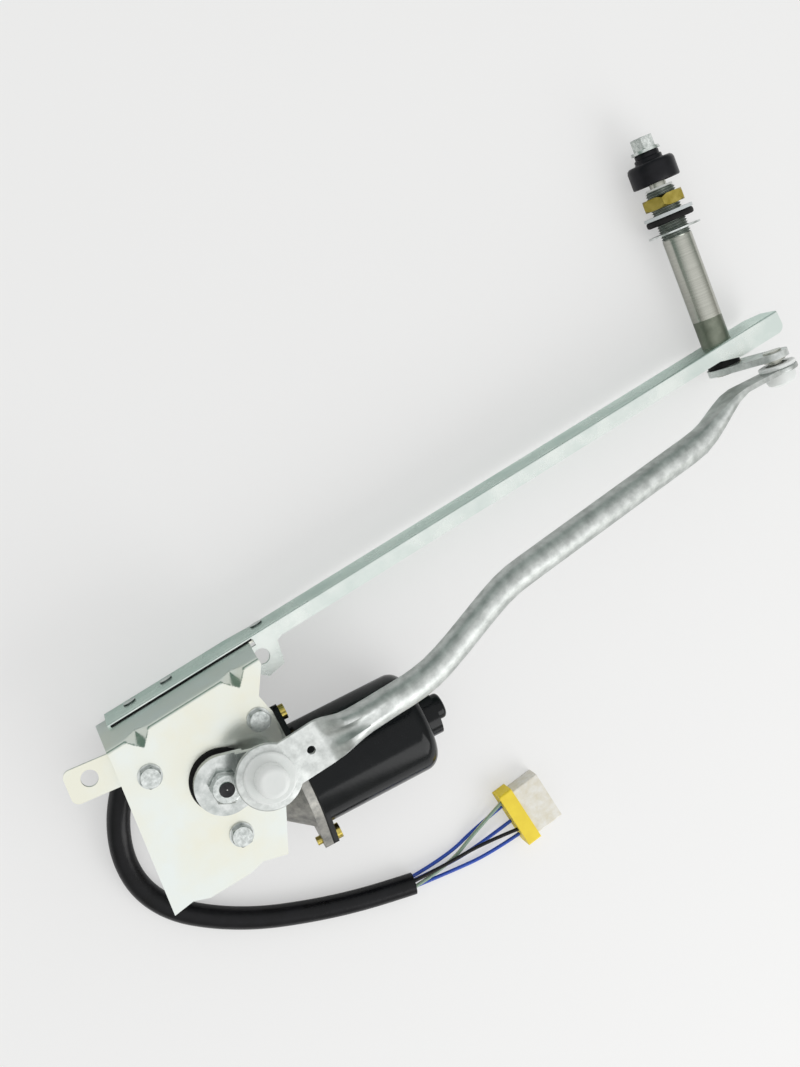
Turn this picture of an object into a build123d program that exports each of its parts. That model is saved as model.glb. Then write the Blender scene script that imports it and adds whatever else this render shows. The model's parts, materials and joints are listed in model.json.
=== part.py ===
"""Windshield wiper drive: motor and gearbox on a sheet bracket, a support bar with a long
wiper pivot, and the crank, link and lever that join them.

Frame: millimetres, X along the support bar towards the pivot, Y along the pivot towards the
wiper arm, Z up from the surface that the drive lies on.
"""
import os
from math import atan2, cos, degrees, pi, radians, sin, tan

from build123d import *

os.makedirs("parts", exist_ok=True)

# ---------------------------------------------------------------- driving dimensions
# Where the output shaft stands, and the main levels above the ground
SHAFT_X = -178.0
SHAFT_Y = -49.0
PLATE_TOP = 76.0
CAN_GROUND_GAP = 0.5
PIVOT_AXIS_Z = 16.5
BAR_MARGIN = 4.0

# Bracket and support bar, measured from the output shaft
SHEET = 2.3
BEND_R = 3.0
WEB_MARGIN = 15.5
PLATE_LEFT = -41.0
PLATE_RIGHT = 47.5
LEFT_DROP = 14.0
LEFT_FLANGE_LENGTH = 34.0
TAB_LENGTH = 25.5
TAB_WIDTH = 18.5
BAR_START = -37.0
BAR_OVERHANG = 38.1
BAR_FOOT = 3.5
BAR_WIDE_END = 40.0
FLANGE_W = 8.8
TAIL_FLANGE_W = 13.0
TAIL_LENGTH = 48.0
FLANGE_START = 53.0
FOOT_HOLE_R = 4.5
RIVET_R = 2.5
RIVET_X = (-21.4, 1.6, 60.0)
RIVET_Z = 10.0
PLATE_HOLE_R = 17.0
BOLT_R = 3.0
BOLT_AF = 10.0
BOLT_HEAD_T = 4.0
BOLT_WASHER_T = 1.2
BOLT_CIRCLE_R = 34.3
BOLT_CIRCLE_SHIFT = 3.8
BOLT_ANGLES = (22.0, 148.0, 260.0)

# Gearbox and motor, measured along the armature from the output shaft
MOTOR_YAW = -6.0
WORM_GAP = 0.7
WHEEL_R = 26.3
WHEEL_W = 12.0
WHEEL_TEETH = 48
WORM_R = 5.0
WORM_HALF = 14.0
WHEEL_CLEARANCE = 1.7
CASE_WALL = 3.5
COVER_T = 1.5
CASE_DEPTH = 18.0
CASE_RISE = 17.0
POST_R = 7.0
COLLAR_R = 13.0
FLANGE_STANDOFF = 4.5
FLANGE_T = 5.0
FLANGE_MARGIN = 0.5
LUG_MARGIN = 8.5
LUG_R = 5.5
GASKET_T = 1.0
CAN_R = 29.5
CAN_WALL = 1.6
CAN_LENGTH = 73.0
CAN_ROUND = 9.0
END_BOSS_R = 14.5
END_BOSS_LENGTH = 8.5
TIP_BOSS_R = 7.5
TIP_BOSS_LENGTH = 6.5
ARMATURE_R = 16.0
CORE_LENGTH = 34.0
COMMUTATOR_R = 9.0
COMMUTATOR_LENGTH = 12.0
AXLE_R = 3.0

# Output shaft, crank and nut, above the plate
OUTPUT_R = 5.0
OUTPUT_THREAD_R = 4.0
CRANK_R = 21.0
CRANK_ANGLE = -8.8
CRANK_T = 5.0
CRANK_HUB_R = 15.5
CRANK_EYE_R = 11.5
CRANK_LEVEL = 6.5
CRANK_STEP = 4.5
CRANK_NUT_AF = 13.0
CRANK_NUT_T = 6.5
SPRING_WASHER_T = 1.8

# Link
BALL_R = 6.0
STUD_R = 4.0
LINK_LEVEL = 28.3
LINK_FLAT_T = 3.0
LINK_TUBE_R = 8.0
LINK_WALL = 1.5
LINK_EYE_R = 17.0
LINK_FLAT_W = 24.0
LINK_END_FLAT = 50.9
FAR_EYE_R = 11.5
FAR_FLAT_LENGTH = 32.0
SOCKET_R = 13.2
SOCKET_T = 2.8
DOME_R = 8.4
DOME_H = 9.0

# Wiper pivot, measured outwards from the bar's web
PIVOT_SPACING = 386.9
PIVOT_LEAN = 6.7
TUBE_R = 9.0
TUBE_BORE_R = 6.8
TUBE_INNER = 11.0
TUBE_LENGTH = 98.5
PIVOT_SHAFT_R = 5.0
BUSH_LENGTH = 14.0
LEVER_R = 35.0
LEVER_ANGLE = 24.0
LEVER_T = 4.0
LEVER_GAP = 4.0
LEVER_HUB_R = 11.0
LEVER_EYE_R = 9.0
BALL_DROP = 8.2
STEEL_WASHER_AT = 72.0
STEEL_WASHER_R = 16.0
STEEL_WASHER_T = 1.0
RUBBER_WASHER_AT = 78.3
RUBBER_WASHER_R = 14.5
RUBBER_WASHER_T = 4.0
PANEL_WASHER_R = 15.0
PANEL_WASHER_T = 2.0
LOCK_NUT_AT = 87.8
LOCK_NUT_AF = 24.0
LOCK_NUT_T = 7.0
CIRCLIP_R = 8.3
CIRCLIP_T = 1.2
CAP_AT = 102.5
CAP_R = 14.5
CAP_WALL = 2.0
CAP_SKIRT = 13.2
CAP_NECK_R = 8.4
CAP_TOP = 121.5
ARM_NUT_AF = 13.0
ARM_NUT_FLANGE_R = 8.9
ARM_NUT_T = 9.0

# Harness
LEAD_ANGLE = 116.1
LEAD_STANDOFF = 8.5
LEAD_Z = 20.0
SLEEVE_R = 6.5
WIRE_R = 1.1
PLUG_WIDTH = 31.5
PLUG_LENGTH = 18.0
PLUG_HEIGHT = 12.0
RETAINER_WIDTH = 36.5
RETAINER_LENGTH = 9.0
RETAINER_HEIGHT = 13.5

# Fits
RUN_FIT = 0.03
THREAD_FIT = 0.05
GAP = 0.3

# ---------------------------------------------------------------- shared planes and places
can_axis_z = CAN_R + CAN_GROUND_GAP
case_bottom = can_axis_z - CASE_DEPTH
case_top = can_axis_z + CASE_RISE
worm_offset = WHEEL_R + WORM_R + WORM_GAP
flange_r = CAN_R + FLANGE_MARGIN
lug_reach = CAN_R + LUG_MARGIN
bar_end = PIVOT_SPACING + BAR_OVERHANG
bar_top = PIVOT_AXIS_Z + TUBE_R + BAR_MARGIN
case_r = WHEEL_R + WHEEL_CLEARANCE + CASE_WALL
flange_u = case_r + FLANGE_STANDOFF
web_face = case_r + WEB_MARGIN
SHAFT = Plane(origin=(SHAFT_X, SHAFT_Y, 0))
yaw = radians(MOTOR_YAW)
MOTOR = Plane(
    origin=(SHAFT_X + worm_offset * sin(yaw), SHAFT_Y - worm_offset * cos(yaw), can_axis_z),
    x_dir=(-sin(yaw), cos(yaw), 0),
    z_dir=(cos(yaw), sin(yaw), 0),
)
lean = radians(PIVOT_LEAN)
pivot_out = Vector(sin(lean), cos(lean), 0)
web_y = SHAFT_Y + web_face
PIVOT = Plane(
    origin=(SHAFT_X + PIVOT_SPACING, web_y, PIVOT_AXIS_Z),
    x_dir=(cos(lean), -sin(lean), 0),
    z_dir=pivot_out,
)
WEB_INNER = Plane(origin=(SHAFT_X, web_y - SHEET, 0), x_dir=(1, 0, 0), z_dir=(0, -1, 0))

bolt_points = [
    (BOLT_CIRCLE_R * cos(radians(a)), BOLT_CIRCLE_SHIFT + BOLT_CIRCLE_R * sin(radians(a)))
    for a in BOLT_ANGLES
]
plate_under = PLATE_TOP - SHEET
crank_eye = (CRANK_R * cos(radians(CRANK_ANGLE)), CRANK_R * sin(radians(CRANK_ANGLE)))
crank_z = PLATE_TOP + CRANK_LEVEL
ball_z = PLATE_TOP + LINK_LEVEL - GAP - BALL_R - 0.1
can_start = flange_u + FLANGE_T + GASKET_T
can_end = can_start + CAN_LENGTH
lever_top = -TUBE_INNER - LEVER_GAP
lever_under = lever_top - LEVER_T
lever_eye = (LEVER_R * sin(radians(LEVER_ANGLE)), -LEVER_R * cos(radians(LEVER_ANGLE)))
far_ball = lever_under - BALL_DROP


def save(part, name):
    """Label one finished sub-part and write it under its node name."""
    part.label = name
    export_step(part, f"parts/{name}.step")


def ring(plane, outer_r, inner_r, length):
    """A washer, sleeve or bush that stands on a plane."""
    with BuildPart() as body:
        with BuildSketch(plane):
            Circle(outer_r)
            Circle(inner_r, mode=Mode.SUBTRACT)
        extrude(amount=length)
    return body.part


def hexagon(plane, across_flats, thickness, bore_r=0.0):
    """A hexagon with chamfered corners that stands on a plane, with an optional bore."""
    corner_r = across_flats / 2 / cos(radians(30))
    with BuildPart() as blank:
        with BuildSketch(plane):
            Circle(corner_r)
        extrude(amount=thickness)
        chamfer(blank.edges().filter_by(GeomType.CIRCLE), (corner_r - across_flats / 2) * 0.8)
    with BuildPart() as body:
        with BuildSketch(plane):
            RegularPolygon(corner_r, 6)
            if bore_r > 0:
                Circle(bore_r, mode=Mode.SUBTRACT)
        extrude(amount=thickness)
        add(blank.part, mode=Mode.INTERSECT)
    return body.part


# ---------------------------------------------------------------- bracket plate
left_corner = Vector(SHAFT_X + PLATE_LEFT, web_y - SHEET - BEND_R - 1.0, 0)
plate_foot = (-55.5, -47.0)
edge_dir = (Vector(SHAFT_X + plate_foot[0], SHAFT_Y + plate_foot[1], 0) - left_corner).normalized()
edge_out = Vector(edge_dir.Y, -edge_dir.X, 0)
LEFT_EDGE = Plane(origin=left_corner, x_dir=edge_dir, z_dir=edge_out)
TAB = Plane(
    origin=left_corner + Vector(0, 0, PLATE_TOP - LEFT_DROP), x_dir=edge_out, z_dir=(0, 0, 1)
)
tab_hole = (13.3, 8.0)
fold_y = web_face - SHEET
flange_low = 4.0

with BuildPart() as bracket_plate:
    with BuildSketch(SHAFT.offset(plate_under)):
        with BuildLine():
            Polyline(
                (PLATE_LEFT, fold_y),
                (PLATE_LEFT, fold_y - BEND_R - 1.0),
                plate_foot,
                (-44.0, -46.0),
                (-36.0, -49.5),
                (-12.0, -50.5),
                (-4.0, -48.8),
                (8.9, -53.0),
                (22.3, -27.4),
                (37.7, 3.0),
                (40.0, 16.0),
                (38.0, 27.0),
                (PLATE_RIGHT, fold_y - BEND_R - 1.0),
                (PLATE_RIGHT, fold_y),
                close=True,
            )
        make_face()
        Circle(PLATE_HOLE_R, mode=Mode.SUBTRACT)
        with Locations(*bolt_points):
            Circle(BOLT_R + GAP, mode=Mode.SUBTRACT)
    extrude(amount=SHEET)
    # the flange that lies against the inside of the bar's web
    with BuildSketch(WEB_INNER):
        with BuildLine():
            Polyline(
                (PLATE_LEFT, PLATE_TOP),
                (PLATE_LEFT, PLATE_TOP - BEND_R - 1.0),
                (PLATE_LEFT - 3.0, flange_low),
                (RIVET_X[2] + 6.0, flange_low),
                (RIVET_X[2] + 6.0, bar_top - SHEET - 2.0),
                (FLANGE_START - 2.5, bar_top - SHEET - 2.0),
                (PLATE_RIGHT, PLATE_TOP - BEND_R - 1.0),
                (PLATE_RIGHT, PLATE_TOP),
                close=True,
            )
        make_face()
        with Locations(*[(x, RIVET_Z) for x in RIVET_X]):
            Circle(RIVET_R, mode=Mode.SUBTRACT)
    extrude(amount=SHEET)
    # the short left flange and the foot tab at its lower edge
    with BuildSketch(LEFT_EDGE):
        with BuildLine():
            Polyline(
                (0, PLATE_TOP),
                (0, PLATE_TOP - LEFT_DROP),
                (TAB_WIDTH + 4.0, PLATE_TOP - LEFT_DROP),
                (LEFT_FLANGE_LENGTH, PLATE_TOP - 4.0),
                (LEFT_FLANGE_LENGTH, PLATE_TOP),
                close=True,
            )
        make_face()
    extrude(amount=-SHEET)
    with BuildSketch(TAB):
        with Locations((TAB_LENGTH / 2 - SHEET / 2, TAB_WIDTH / 2)):
            Rectangle(TAB_LENGTH + SHEET, TAB_WIDTH)
        with Locations(tab_hole):
            Circle(FOOT_HOLE_R, mode=Mode.SUBTRACT)
    extrude(amount=SHEET)
    # rounded folds and tab corners
    top_fold = (
        bracket_plate.edges().filter_by(Axis.X).group_by(Axis.Z)[-1].group_by(Axis.Y)[-1]
    )
    fillet(top_fold, BEND_R)
    tab_ends = bracket_plate.edges().filter_by(Axis.Z).group_by(Axis.X)[0:2]
    fillet([edge for group in tab_ends for edge in group], 4.0)
    # pressed gussets that stiffen the folds
    for gusset_x in (-24.0, 32.0):
        with Locations(Vector(SHAFT_X + gusset_x, web_y - SHEET + 1.8, PLATE_TOP + 1.8)):
            Sphere(4.2, mode=Mode.SUBTRACT)
save(bracket_plate.part, "bracket_plate")

# ---------------------------------------------------------------- support bar
tail_x = SHAFT_X + bar_end - TAIL_LENGTH
end_x = SHAFT_X + bar_end
ear_hole = (52.6, 33.8)

with BuildPart() as support_bar:
    # the web, wider where it carries the bracket
    with BuildSketch(WEB_INNER):
        with BuildLine():
            Polyline(
                (BAR_START, 0),
                (BAR_WIDE_END, 0),
                (BAR_WIDE_END + 16.0, BAR_FOOT),
                (bar_end - 8.0, BAR_FOOT),
                (bar_end, BAR_FOOT + 8.0),
                (bar_end, bar_top),
                (BAR_START, bar_top),
                close=True,
            )
        make_face()
        with Locations(*[(x, RIVET_Z) for x in RIVET_X]):
            Circle(RIVET_R, mode=Mode.SUBTRACT)
    extrude(amount=-SHEET)
    # the front flange, with the bolt ear at the motor end and a wider tail
    with BuildSketch(Plane.XY.offset(bar_top - SHEET)) as front:
        with BuildLine():
            Polyline(
                (SHAFT_X + FLANGE_START, web_y),
                (end_x, web_y),
                (end_x, web_y - TAIL_FLANGE_W),
                (tail_x + 14.0, web_y - TAIL_FLANGE_W),
                (tail_x, web_y - FLANGE_W),
                (SHAFT_X + 68.0, web_y - FLANGE_W),
                (SHAFT_X + 64.5, SHAFT_Y + 37.0),
                (SHAFT_X + 61.5, SHAFT_Y + 24.0),
                (SHAFT_X + 50.5, SHAFT_Y + 22.0),
                (SHAFT_X + 46.5, SHAFT_Y + 26.0),
                (SHAFT_X + 46.5, SHAFT_Y + 41.0),
                (SHAFT_X + FLANGE_START, SHAFT_Y + 41.0),
                close=True,
            )
        make_face()
        with Locations((SHAFT_X + ear_hole[0], SHAFT_Y + ear_hole[1])):
            Circle(FOOT_HOLE_R, mode=Mode.SUBTRACT)
    extrude(amount=SHEET)
    long_fold = [
        edge
        for edge in support_bar.edges().filter_by(Axis.X)
        if edge.length > 200 and edge.center().Z > bar_top - 0.01 and edge.center().Y > web_y - 0.01
    ]
    fillet(long_fold, 1.6)
    lip_corner = support_bar.edges().filter_by(Axis.Z).group_by(Axis.X)[-1].sort_by(Axis.Y)[0]
    fillet(lip_corner, 5.0)
    # the hole that the pivot tube is welded into
    with BuildSketch(PIVOT.offset(-SHEET - 3.0)):
        Circle(TUBE_R)
    extrude(amount=SHEET + 6.0, mode=Mode.SUBTRACT)
save(support_bar.part, "support_bar")

with BuildPart() as web_rivets:
    with BuildSketch(WEB_INNER.offset(SHEET)):
        with Locations(*[(x, RIVET_Z) for x in RIVET_X]):
            Circle(RIVET_R)
    extrude(amount=-2 * SHEET)
    with BuildSketch(WEB_INNER.offset(-SHEET)):
        with Locations(*[(x, RIVET_Z) for x in RIVET_X]):
            Circle(RIVET_R + 1.2)
    extrude(amount=-0.8)
    with BuildSketch(WEB_INNER.offset(SHEET)):
        with Locations(*[(x, RIVET_Z) for x in RIVET_X]):
            Circle(RIVET_R + 1.2)
    extrude(amount=0.8)
save(web_rivets.part, "web_rivets")

# ---------------------------------------------------------------- motor fixing bolts
bolt_grip = 16.0
with BuildPart() as motor_bolts:
    for x, y in bolt_points:
        seat = Plane(origin=(SHAFT_X + x, SHAFT_Y + y, PLATE_TOP + BOLT_WASHER_T))
        add(hexagon(seat, BOLT_AF, BOLT_HEAD_T))
        with BuildSketch(seat):
            Circle(BOLT_R)
        extrude(amount=-bolt_grip)
save(motor_bolts.part, "motor_bolts")

with BuildPart() as bolt_washers:
    with BuildSketch(SHAFT.offset(PLATE_TOP)):
        with Locations(*bolt_points):
            Circle(BOLT_AF / 2 + 1.4)
            Circle(BOLT_R + 0.2, mode=Mode.SUBTRACT)
    extrude(amount=BOLT_WASHER_T)
save(bolt_washers.part, "bolt_washers")

# ---------------------------------------------------------------- gear housing
post_foot = case_top - 9.0
bush_r = OUTPUT_R + RUN_FIT + 3.0
bell_u = 16.0
tunnel_r = WORM_R + 1.5 + CASE_WALL
tunnel_back = 30.0
lead_dir = Vector(-0.8, -0.6, 0)
lead_reach = case_r + LEAD_STANDOFF
lead_exit = Vector(
    SHAFT_X + lead_reach * cos(radians(LEAD_ANGLE)),
    SHAFT_Y + lead_reach * sin(radians(LEAD_ANGLE)),
    LEAD_Z,
)


def motor_flange(plane, thickness, bore_r):
    """The oval motor flange with its two screw lugs."""
    with BuildPart() as flange:
        with BuildSketch(plane):
            Circle(flange_r)
            with Locations((lug_reach, 0), (-lug_reach, 0)):
                Circle(LUG_R)
            make_hull()
            Circle(bore_r, mode=Mode.SUBTRACT)
            with Locations((lug_reach, 0), (-lug_reach, 0)):
                Circle(2.5 + THREAD_FIT, mode=Mode.SUBTRACT)
        extrude(amount=thickness)
    return flange.part


with BuildPart() as gear_housing:
    with BuildSketch(SHAFT.offset(case_bottom)):
        Circle(case_r)
    extrude(amount=case_top - case_bottom)
    with BuildSketch(MOTOR.offset(-tunnel_back)):
        Circle(tunnel_r)
    extrude(amount=tunnel_back + bell_u)
    with BuildSketch(MOTOR.offset(bell_u)):
        Circle(tunnel_r + 3.0)
    with BuildSketch(MOTOR.offset(flange_u)):
        Circle(flange_r - 1.5)
    loft()
    add(motor_flange(MOTOR.offset(flange_u), FLANGE_T, 20.0))
    # the block that the leads come out of
    with BuildSketch(Plane(origin=lead_exit - Vector(0, 0, 7.5))):
        Polygon((-4.2, 5.6), (4.2, -5.6), (15.6, -7.9), (15.6, 1.1), align=None)
    extrude(amount=15.0)
    # three fixing posts up to the bracket and the output collar through it
    with BuildSketch(SHAFT.offset(post_foot)):
        with Locations(*bolt_points):
            Circle(POST_R)
    extrude(amount=plate_under - post_foot)
    with BuildSketch(SHAFT.offset(case_top - 1.0)):
        Circle(COLLAR_R)
    extrude(amount=PLATE_TOP + 1.0 - case_top + 1.0)
    # room below the case for its cover and the cover's screws
    with BuildSketch(SHAFT.offset(case_bottom)):
        Circle(case_r + GAP)
    extrude(amount=-(COVER_T + 2.0), mode=Mode.SUBTRACT)
    # gear chamber, worm tunnel and bores
    with BuildSketch(SHAFT.offset(case_bottom)):
        Circle(WHEEL_R + WHEEL_CLEARANCE)
    extrude(amount=case_top - CASE_WALL - case_bottom, mode=Mode.SUBTRACT)
    with BuildSketch(MOTOR.offset(-tunnel_back + 4.0)):
        Circle(WORM_R + 1.5)
    extrude(amount=tunnel_back + flange_u, mode=Mode.SUBTRACT)
    with BuildSketch(MOTOR.offset(flange_u - 8.0)):
        Circle(20.0)
    extrude(amount=9.0, mode=Mode.SUBTRACT)
    with BuildSketch(SHAFT.offset(case_bottom)):
        Circle(bush_r)
    extrude(amount=PLATE_TOP, mode=Mode.SUBTRACT)
    with BuildSketch(SHAFT.offset(plate_under - bolt_grip)):
        with Locations(*bolt_points):
            Circle(BOLT_R + THREAD_FIT)
    extrude(amount=bolt_grip + 1.0, mode=Mode.SUBTRACT)
save(gear_housing.part, "gear_housing")

cover_screw_angles = (20.0, 110.0, 200.0, 335.0)
cover_screws_at = [
    ((case_r - CASE_WALL / 2) * cos(radians(a)), (case_r - CASE_WALL / 2) * sin(radians(a)))
    for a in cover_screw_angles
]
with BuildPart() as gear_cover:
    with BuildSketch(SHAFT.offset(case_bottom - COVER_T)):
        Circle(case_r)
        with Locations(*cover_screws_at):
            Circle(1.2, mode=Mode.SUBTRACT)
    extrude(amount=COVER_T)
    with BuildSketch(SHAFT.offset(case_bottom - COVER_T)):
        Circle(12.0)
    extrude(amount=-1.5)
save(gear_cover.part, "gear_cover")

with BuildPart() as cover_screws:
    with BuildSketch(SHAFT.offset(case_bottom - COVER_T)):
        with Locations(*cover_screws_at):
            Circle(2.2)
    extrude(amount=-1.8)
    with BuildSketch(SHAFT.offset(case_bottom - COVER_T)):
        with Locations(*cover_screws_at):
            Circle(1.2)
    extrude(amount=COVER_T)
save(cover_screws.part, "cover_screws")

collar_seal = ring(SHAFT.offset(plate_under - 4.0), PLATE_HOLE_R - 0.4, COLLAR_R, SHEET + 5.2)
save(collar_seal, "collar_seal")

lead_grommet = ring(
    Plane(origin=lead_exit, x_dir=(0, 0, 1), z_dir=lead_dir), SLEEVE_R + 1.2, 3.0, 5.0
)
save(lead_grommet, "lead_grommet")

# ---------------------------------------------------------------- motor can
flange_gasket = motor_flange(MOTOR.offset(flange_u + FLANGE_T), GASKET_T, CAN_R - CAN_WALL)
save(flange_gasket, "flange_gasket")

with BuildPart() as motor_can:
    with BuildSketch(MOTOR.offset(can_start)):
        Circle(CAN_R)
    extrude(amount=CAN_LENGTH)
    rim = motor_can.faces().sort_by(Axis.X)[-1].edges()
    fillet(rim, CAN_ROUND)
    with BuildSketch(MOTOR.offset(can_end - 1.0)):
        Circle(END_BOSS_R)
    extrude(amount=END_BOSS_LENGTH + 1.0)
    with BuildSketch(MOTOR.offset(can_end + END_BOSS_LENGTH - 1.0)):
        Circle(TIP_BOSS_R)
    extrude(amount=TIP_BOSS_LENGTH + 1.0)
    tip = motor_can.faces().sort_by(Axis.X)[-1].edges()
    fillet(tip, 2.5)
    add(motor_flange(MOTOR.offset(can_start), 2.5, CAN_R - CAN_WALL))
    with BuildSketch(MOTOR.offset(can_start)):
        Circle(CAN_R - CAN_WALL)
    extrude(amount=CAN_LENGTH - CAN_ROUND, mode=Mode.SUBTRACT)
    with BuildSketch(MOTOR.offset(can_start)):
        Circle(AXLE_R + 4.0)
    extrude(amount=CAN_LENGTH + END_BOSS_LENGTH - 1.5, mode=Mode.SUBTRACT)
save(motor_can.part, "motor_can")

with BuildPart() as can_screws:
    for side in (-1, 1):
        seat = MOTOR.offset(can_start + 2.5)
        with BuildSketch(seat):
            with Locations((side * lug_reach, 0)):
                Circle(4.4)
        extrude(amount=3.2)
        with BuildSketch(seat):
            with Locations((side * lug_reach, 0)):
                Circle(2.5)
        extrude(amount=-(FLANGE_T + GASKET_T + 2.5 + 3.0))
save(can_screws.part, "can_screws")

# ---------------------------------------------------------------- armature and brushes
core_u = can_start + 16.0
axle_end = can_end + END_BOSS_LENGTH - 2.0
with BuildPart() as armature_axle:
    with BuildSketch(MOTOR.offset(-tunnel_back + 10.0)):
        Circle(AXLE_R)
    extrude(amount=axle_end + tunnel_back - 10.0)
    with BuildSketch(MOTOR.offset(-WORM_HALF)):
        Circle(WORM_R)
    extrude(amount=2 * WORM_HALF)
    for k in range(8):
        groove = -WORM_HALF + 1.2 + k * 3.4
        with BuildSketch(MOTOR.offset(groove)):
            Circle(WORM_R + 0.5)
            Circle(WORM_R - 1.4, mode=Mode.SUBTRACT)
        extrude(amount=1.6, mode=Mode.SUBTRACT)
save(armature_axle.part, "armature_axle")

with BuildPart() as armature_core:
    with BuildSketch(MOTOR.offset(core_u)):
        Circle(ARMATURE_R)
        Circle(AXLE_R, mode=Mode.SUBTRACT)
        with PolarLocations(ARMATURE_R, 12):
            Rectangle(6.0, 1.6, mode=Mode.SUBTRACT)
    extrude(amount=CORE_LENGTH)
save(armature_core.part, "armature_core")

with BuildPart() as armature_windings:
    for start in (core_u - 6.0, core_u + CORE_LENGTH):
        with BuildSketch(MOTOR.offset(start)):
            Circle(ARMATURE_R - 2.0)
            Circle(AXLE_R + 1.0, mode=Mode.SUBTRACT)
        extrude(amount=6.0)
    fillet(armature_windings.edges().filter_by(GeomType.CIRCLE).filter_by(
        lambda edge: edge.radius > ARMATURE_R - 2.5), 1.5)
save(armature_windings.part, "armature_windings")

commutator_u = core_u - 7.0 - COMMUTATOR_LENGTH
commutator = ring(MOTOR.offset(commutator_u), COMMUTATOR_R, AXLE_R, COMMUTATOR_LENGTH)
save(commutator, "commutator")

with BuildPart() as field_magnets:
    with BuildSketch(MOTOR.offset(core_u - 2.0)):
        Circle(CAN_R - CAN_WALL)
        Circle(ARMATURE_R + 1.0, mode=Mode.SUBTRACT)
        Rectangle(2 * CAN_R, 16.0, mode=Mode.SUBTRACT)
    extrude(amount=CORE_LENGTH + 4.0)
save(field_magnets.part, "field_magnets")

brush_u = can_start + 1.0
with BuildPart() as brush_plate:
    with BuildSketch(MOTOR.offset(brush_u)):
        Circle(CAN_R - CAN_WALL)
        Circle(COMMUTATOR_R + 1.5, mode=Mode.SUBTRACT)
    extrude(amount=2.0)
    for side in (-1, 1):
        with BuildSketch(MOTOR.offset(brush_u + 2.0)):
            with Locations((side * (COMMUTATOR_R + 9.0), 0)):
                Rectangle(12.0, 8.0)
                Rectangle(12.0, 5.0, mode=Mode.SUBTRACT)
        extrude(amount=6.0)
save(brush_plate.part, "brush_plate")

with BuildPart() as brushes:
    for side in (-1, 1):
        with BuildSketch(MOTOR.offset(brush_u + 2.0)):
            with Locations((side * (COMMUTATOR_R + 5.5 + GAP), 0)):
                Rectangle(11.0, 5.0)
        extrude(amount=5.0)
save(brushes.part, "brushes")

worm_bearing = ring(MOTOR.offset(flange_u - 18.0), WORM_R + 1.5, AXLE_R + RUN_FIT, 8.0)
save(worm_bearing, "worm_bearing")
end_bearing = ring(
    MOTOR.offset(can_end - 4.0), AXLE_R + 4.0, AXLE_R + RUN_FIT, END_BOSS_LENGTH
)
save(end_bearing, "end_bearing")

with BuildPart() as thrust_screw:
    with BuildSketch(MOTOR.offset(-tunnel_back + 4.0)):
        Circle(WORM_R + 1.5)
    extrude(amount=6.0 - GAP)
save(thrust_screw.part, "thrust_screw")

# ---------------------------------------------------------------- worm wheel and output shaft
wheel_z = can_axis_z - WHEEL_W / 2
tooth = 2 * pi * WHEEL_R / WHEEL_TEETH / 2
with BuildPart() as worm_wheel:
    with BuildSketch(SHAFT.offset(wheel_z)):
        Circle(WHEEL_R - 1.6)
        with PolarLocations(WHEEL_R - 1.2, WHEEL_TEETH):
            Rectangle(2.4, tooth)
        Circle(OUTPUT_R, mode=Mode.SUBTRACT)
    extrude(amount=WHEEL_W)
    with BuildSketch(SHAFT.offset(wheel_z)):
        Circle(WHEEL_R - 6.0)
        Circle(OUTPUT_R + 5.0, mode=Mode.SUBTRACT)
    extrude(amount=3.0, mode=Mode.SUBTRACT)
save(worm_wheel.part, "worm_wheel")

shaft_foot = case_bottom + GAP
with BuildPart() as output_shaft:
    with BuildSketch(SHAFT.offset(shaft_foot)):
        Circle(OUTPUT_R)
    extrude(amount=crank_z + CRANK_T - shaft_foot)
    with BuildSketch(SHAFT.offset(crank_z + CRANK_T)):
        Circle(OUTPUT_THREAD_R)
    extrude(amount=SPRING_WASHER_T + CRANK_NUT_T + 0.8)
    thread_end = output_shaft.faces().sort_by(Axis.Z)[-1].edges()
    chamfer(thread_end, 0.7)
save(output_shaft.part, "output_shaft")

bush_top = PLATE_TOP + 1.0
bush_foot = case_top - CASE_WALL
output_bush = ring(SHAFT.offset(bush_foot), bush_r, OUTPUT_R + RUN_FIT, bush_top - bush_foot)
save(output_bush, "output_bush")
shaft_spacer = ring(
    SHAFT.offset(bush_top + GAP), OUTPUT_R + 3.5, OUTPUT_R, crank_z - bush_top - GAP
)
save(shaft_spacer, "shaft_spacer")

# ---------------------------------------------------------------- crank
CRANK = Plane(
    origin=(SHAFT_X, SHAFT_Y, 0),
    x_dir=(cos(radians(CRANK_ANGLE)), sin(radians(CRANK_ANGLE)), 0),
    z_dir=(0, 0, 1),
)
eye_z = crank_z + CRANK_STEP
step_at = CRANK_R - CRANK_EYE_R + 1.0
with BuildPart() as crank_arm:
    with BuildSketch(CRANK.offset(crank_z)):
        Circle(CRANK_HUB_R)
        with Locations((CRANK_R, 0)):
            Circle(CRANK_EYE_R)
        make_hull()
        Circle(OUTPUT_R, mode=Mode.SUBTRACT)
        with Locations((CRANK_R, 0)):
            Circle(STUD_R, mode=Mode.SUBTRACT)
    extrude(amount=CRANK_T + CRANK_STEP)
    with BuildSketch(CRANK.offset(crank_z + CRANK_T)):
        with Locations((step_at - 50.0, 0)):
            Rectangle(100.0, 60.0)
    extrude(amount=CRANK_STEP, mode=Mode.SUBTRACT)
    with BuildSketch(CRANK.offset(crank_z)):
        with Locations((step_at + CRANK_T - 1.0 + 50.0, 0)):
            Rectangle(100.0, 60.0)
    extrude(amount=CRANK_STEP, mode=Mode.SUBTRACT)
save(crank_arm.part, "crank_arm")

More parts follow.
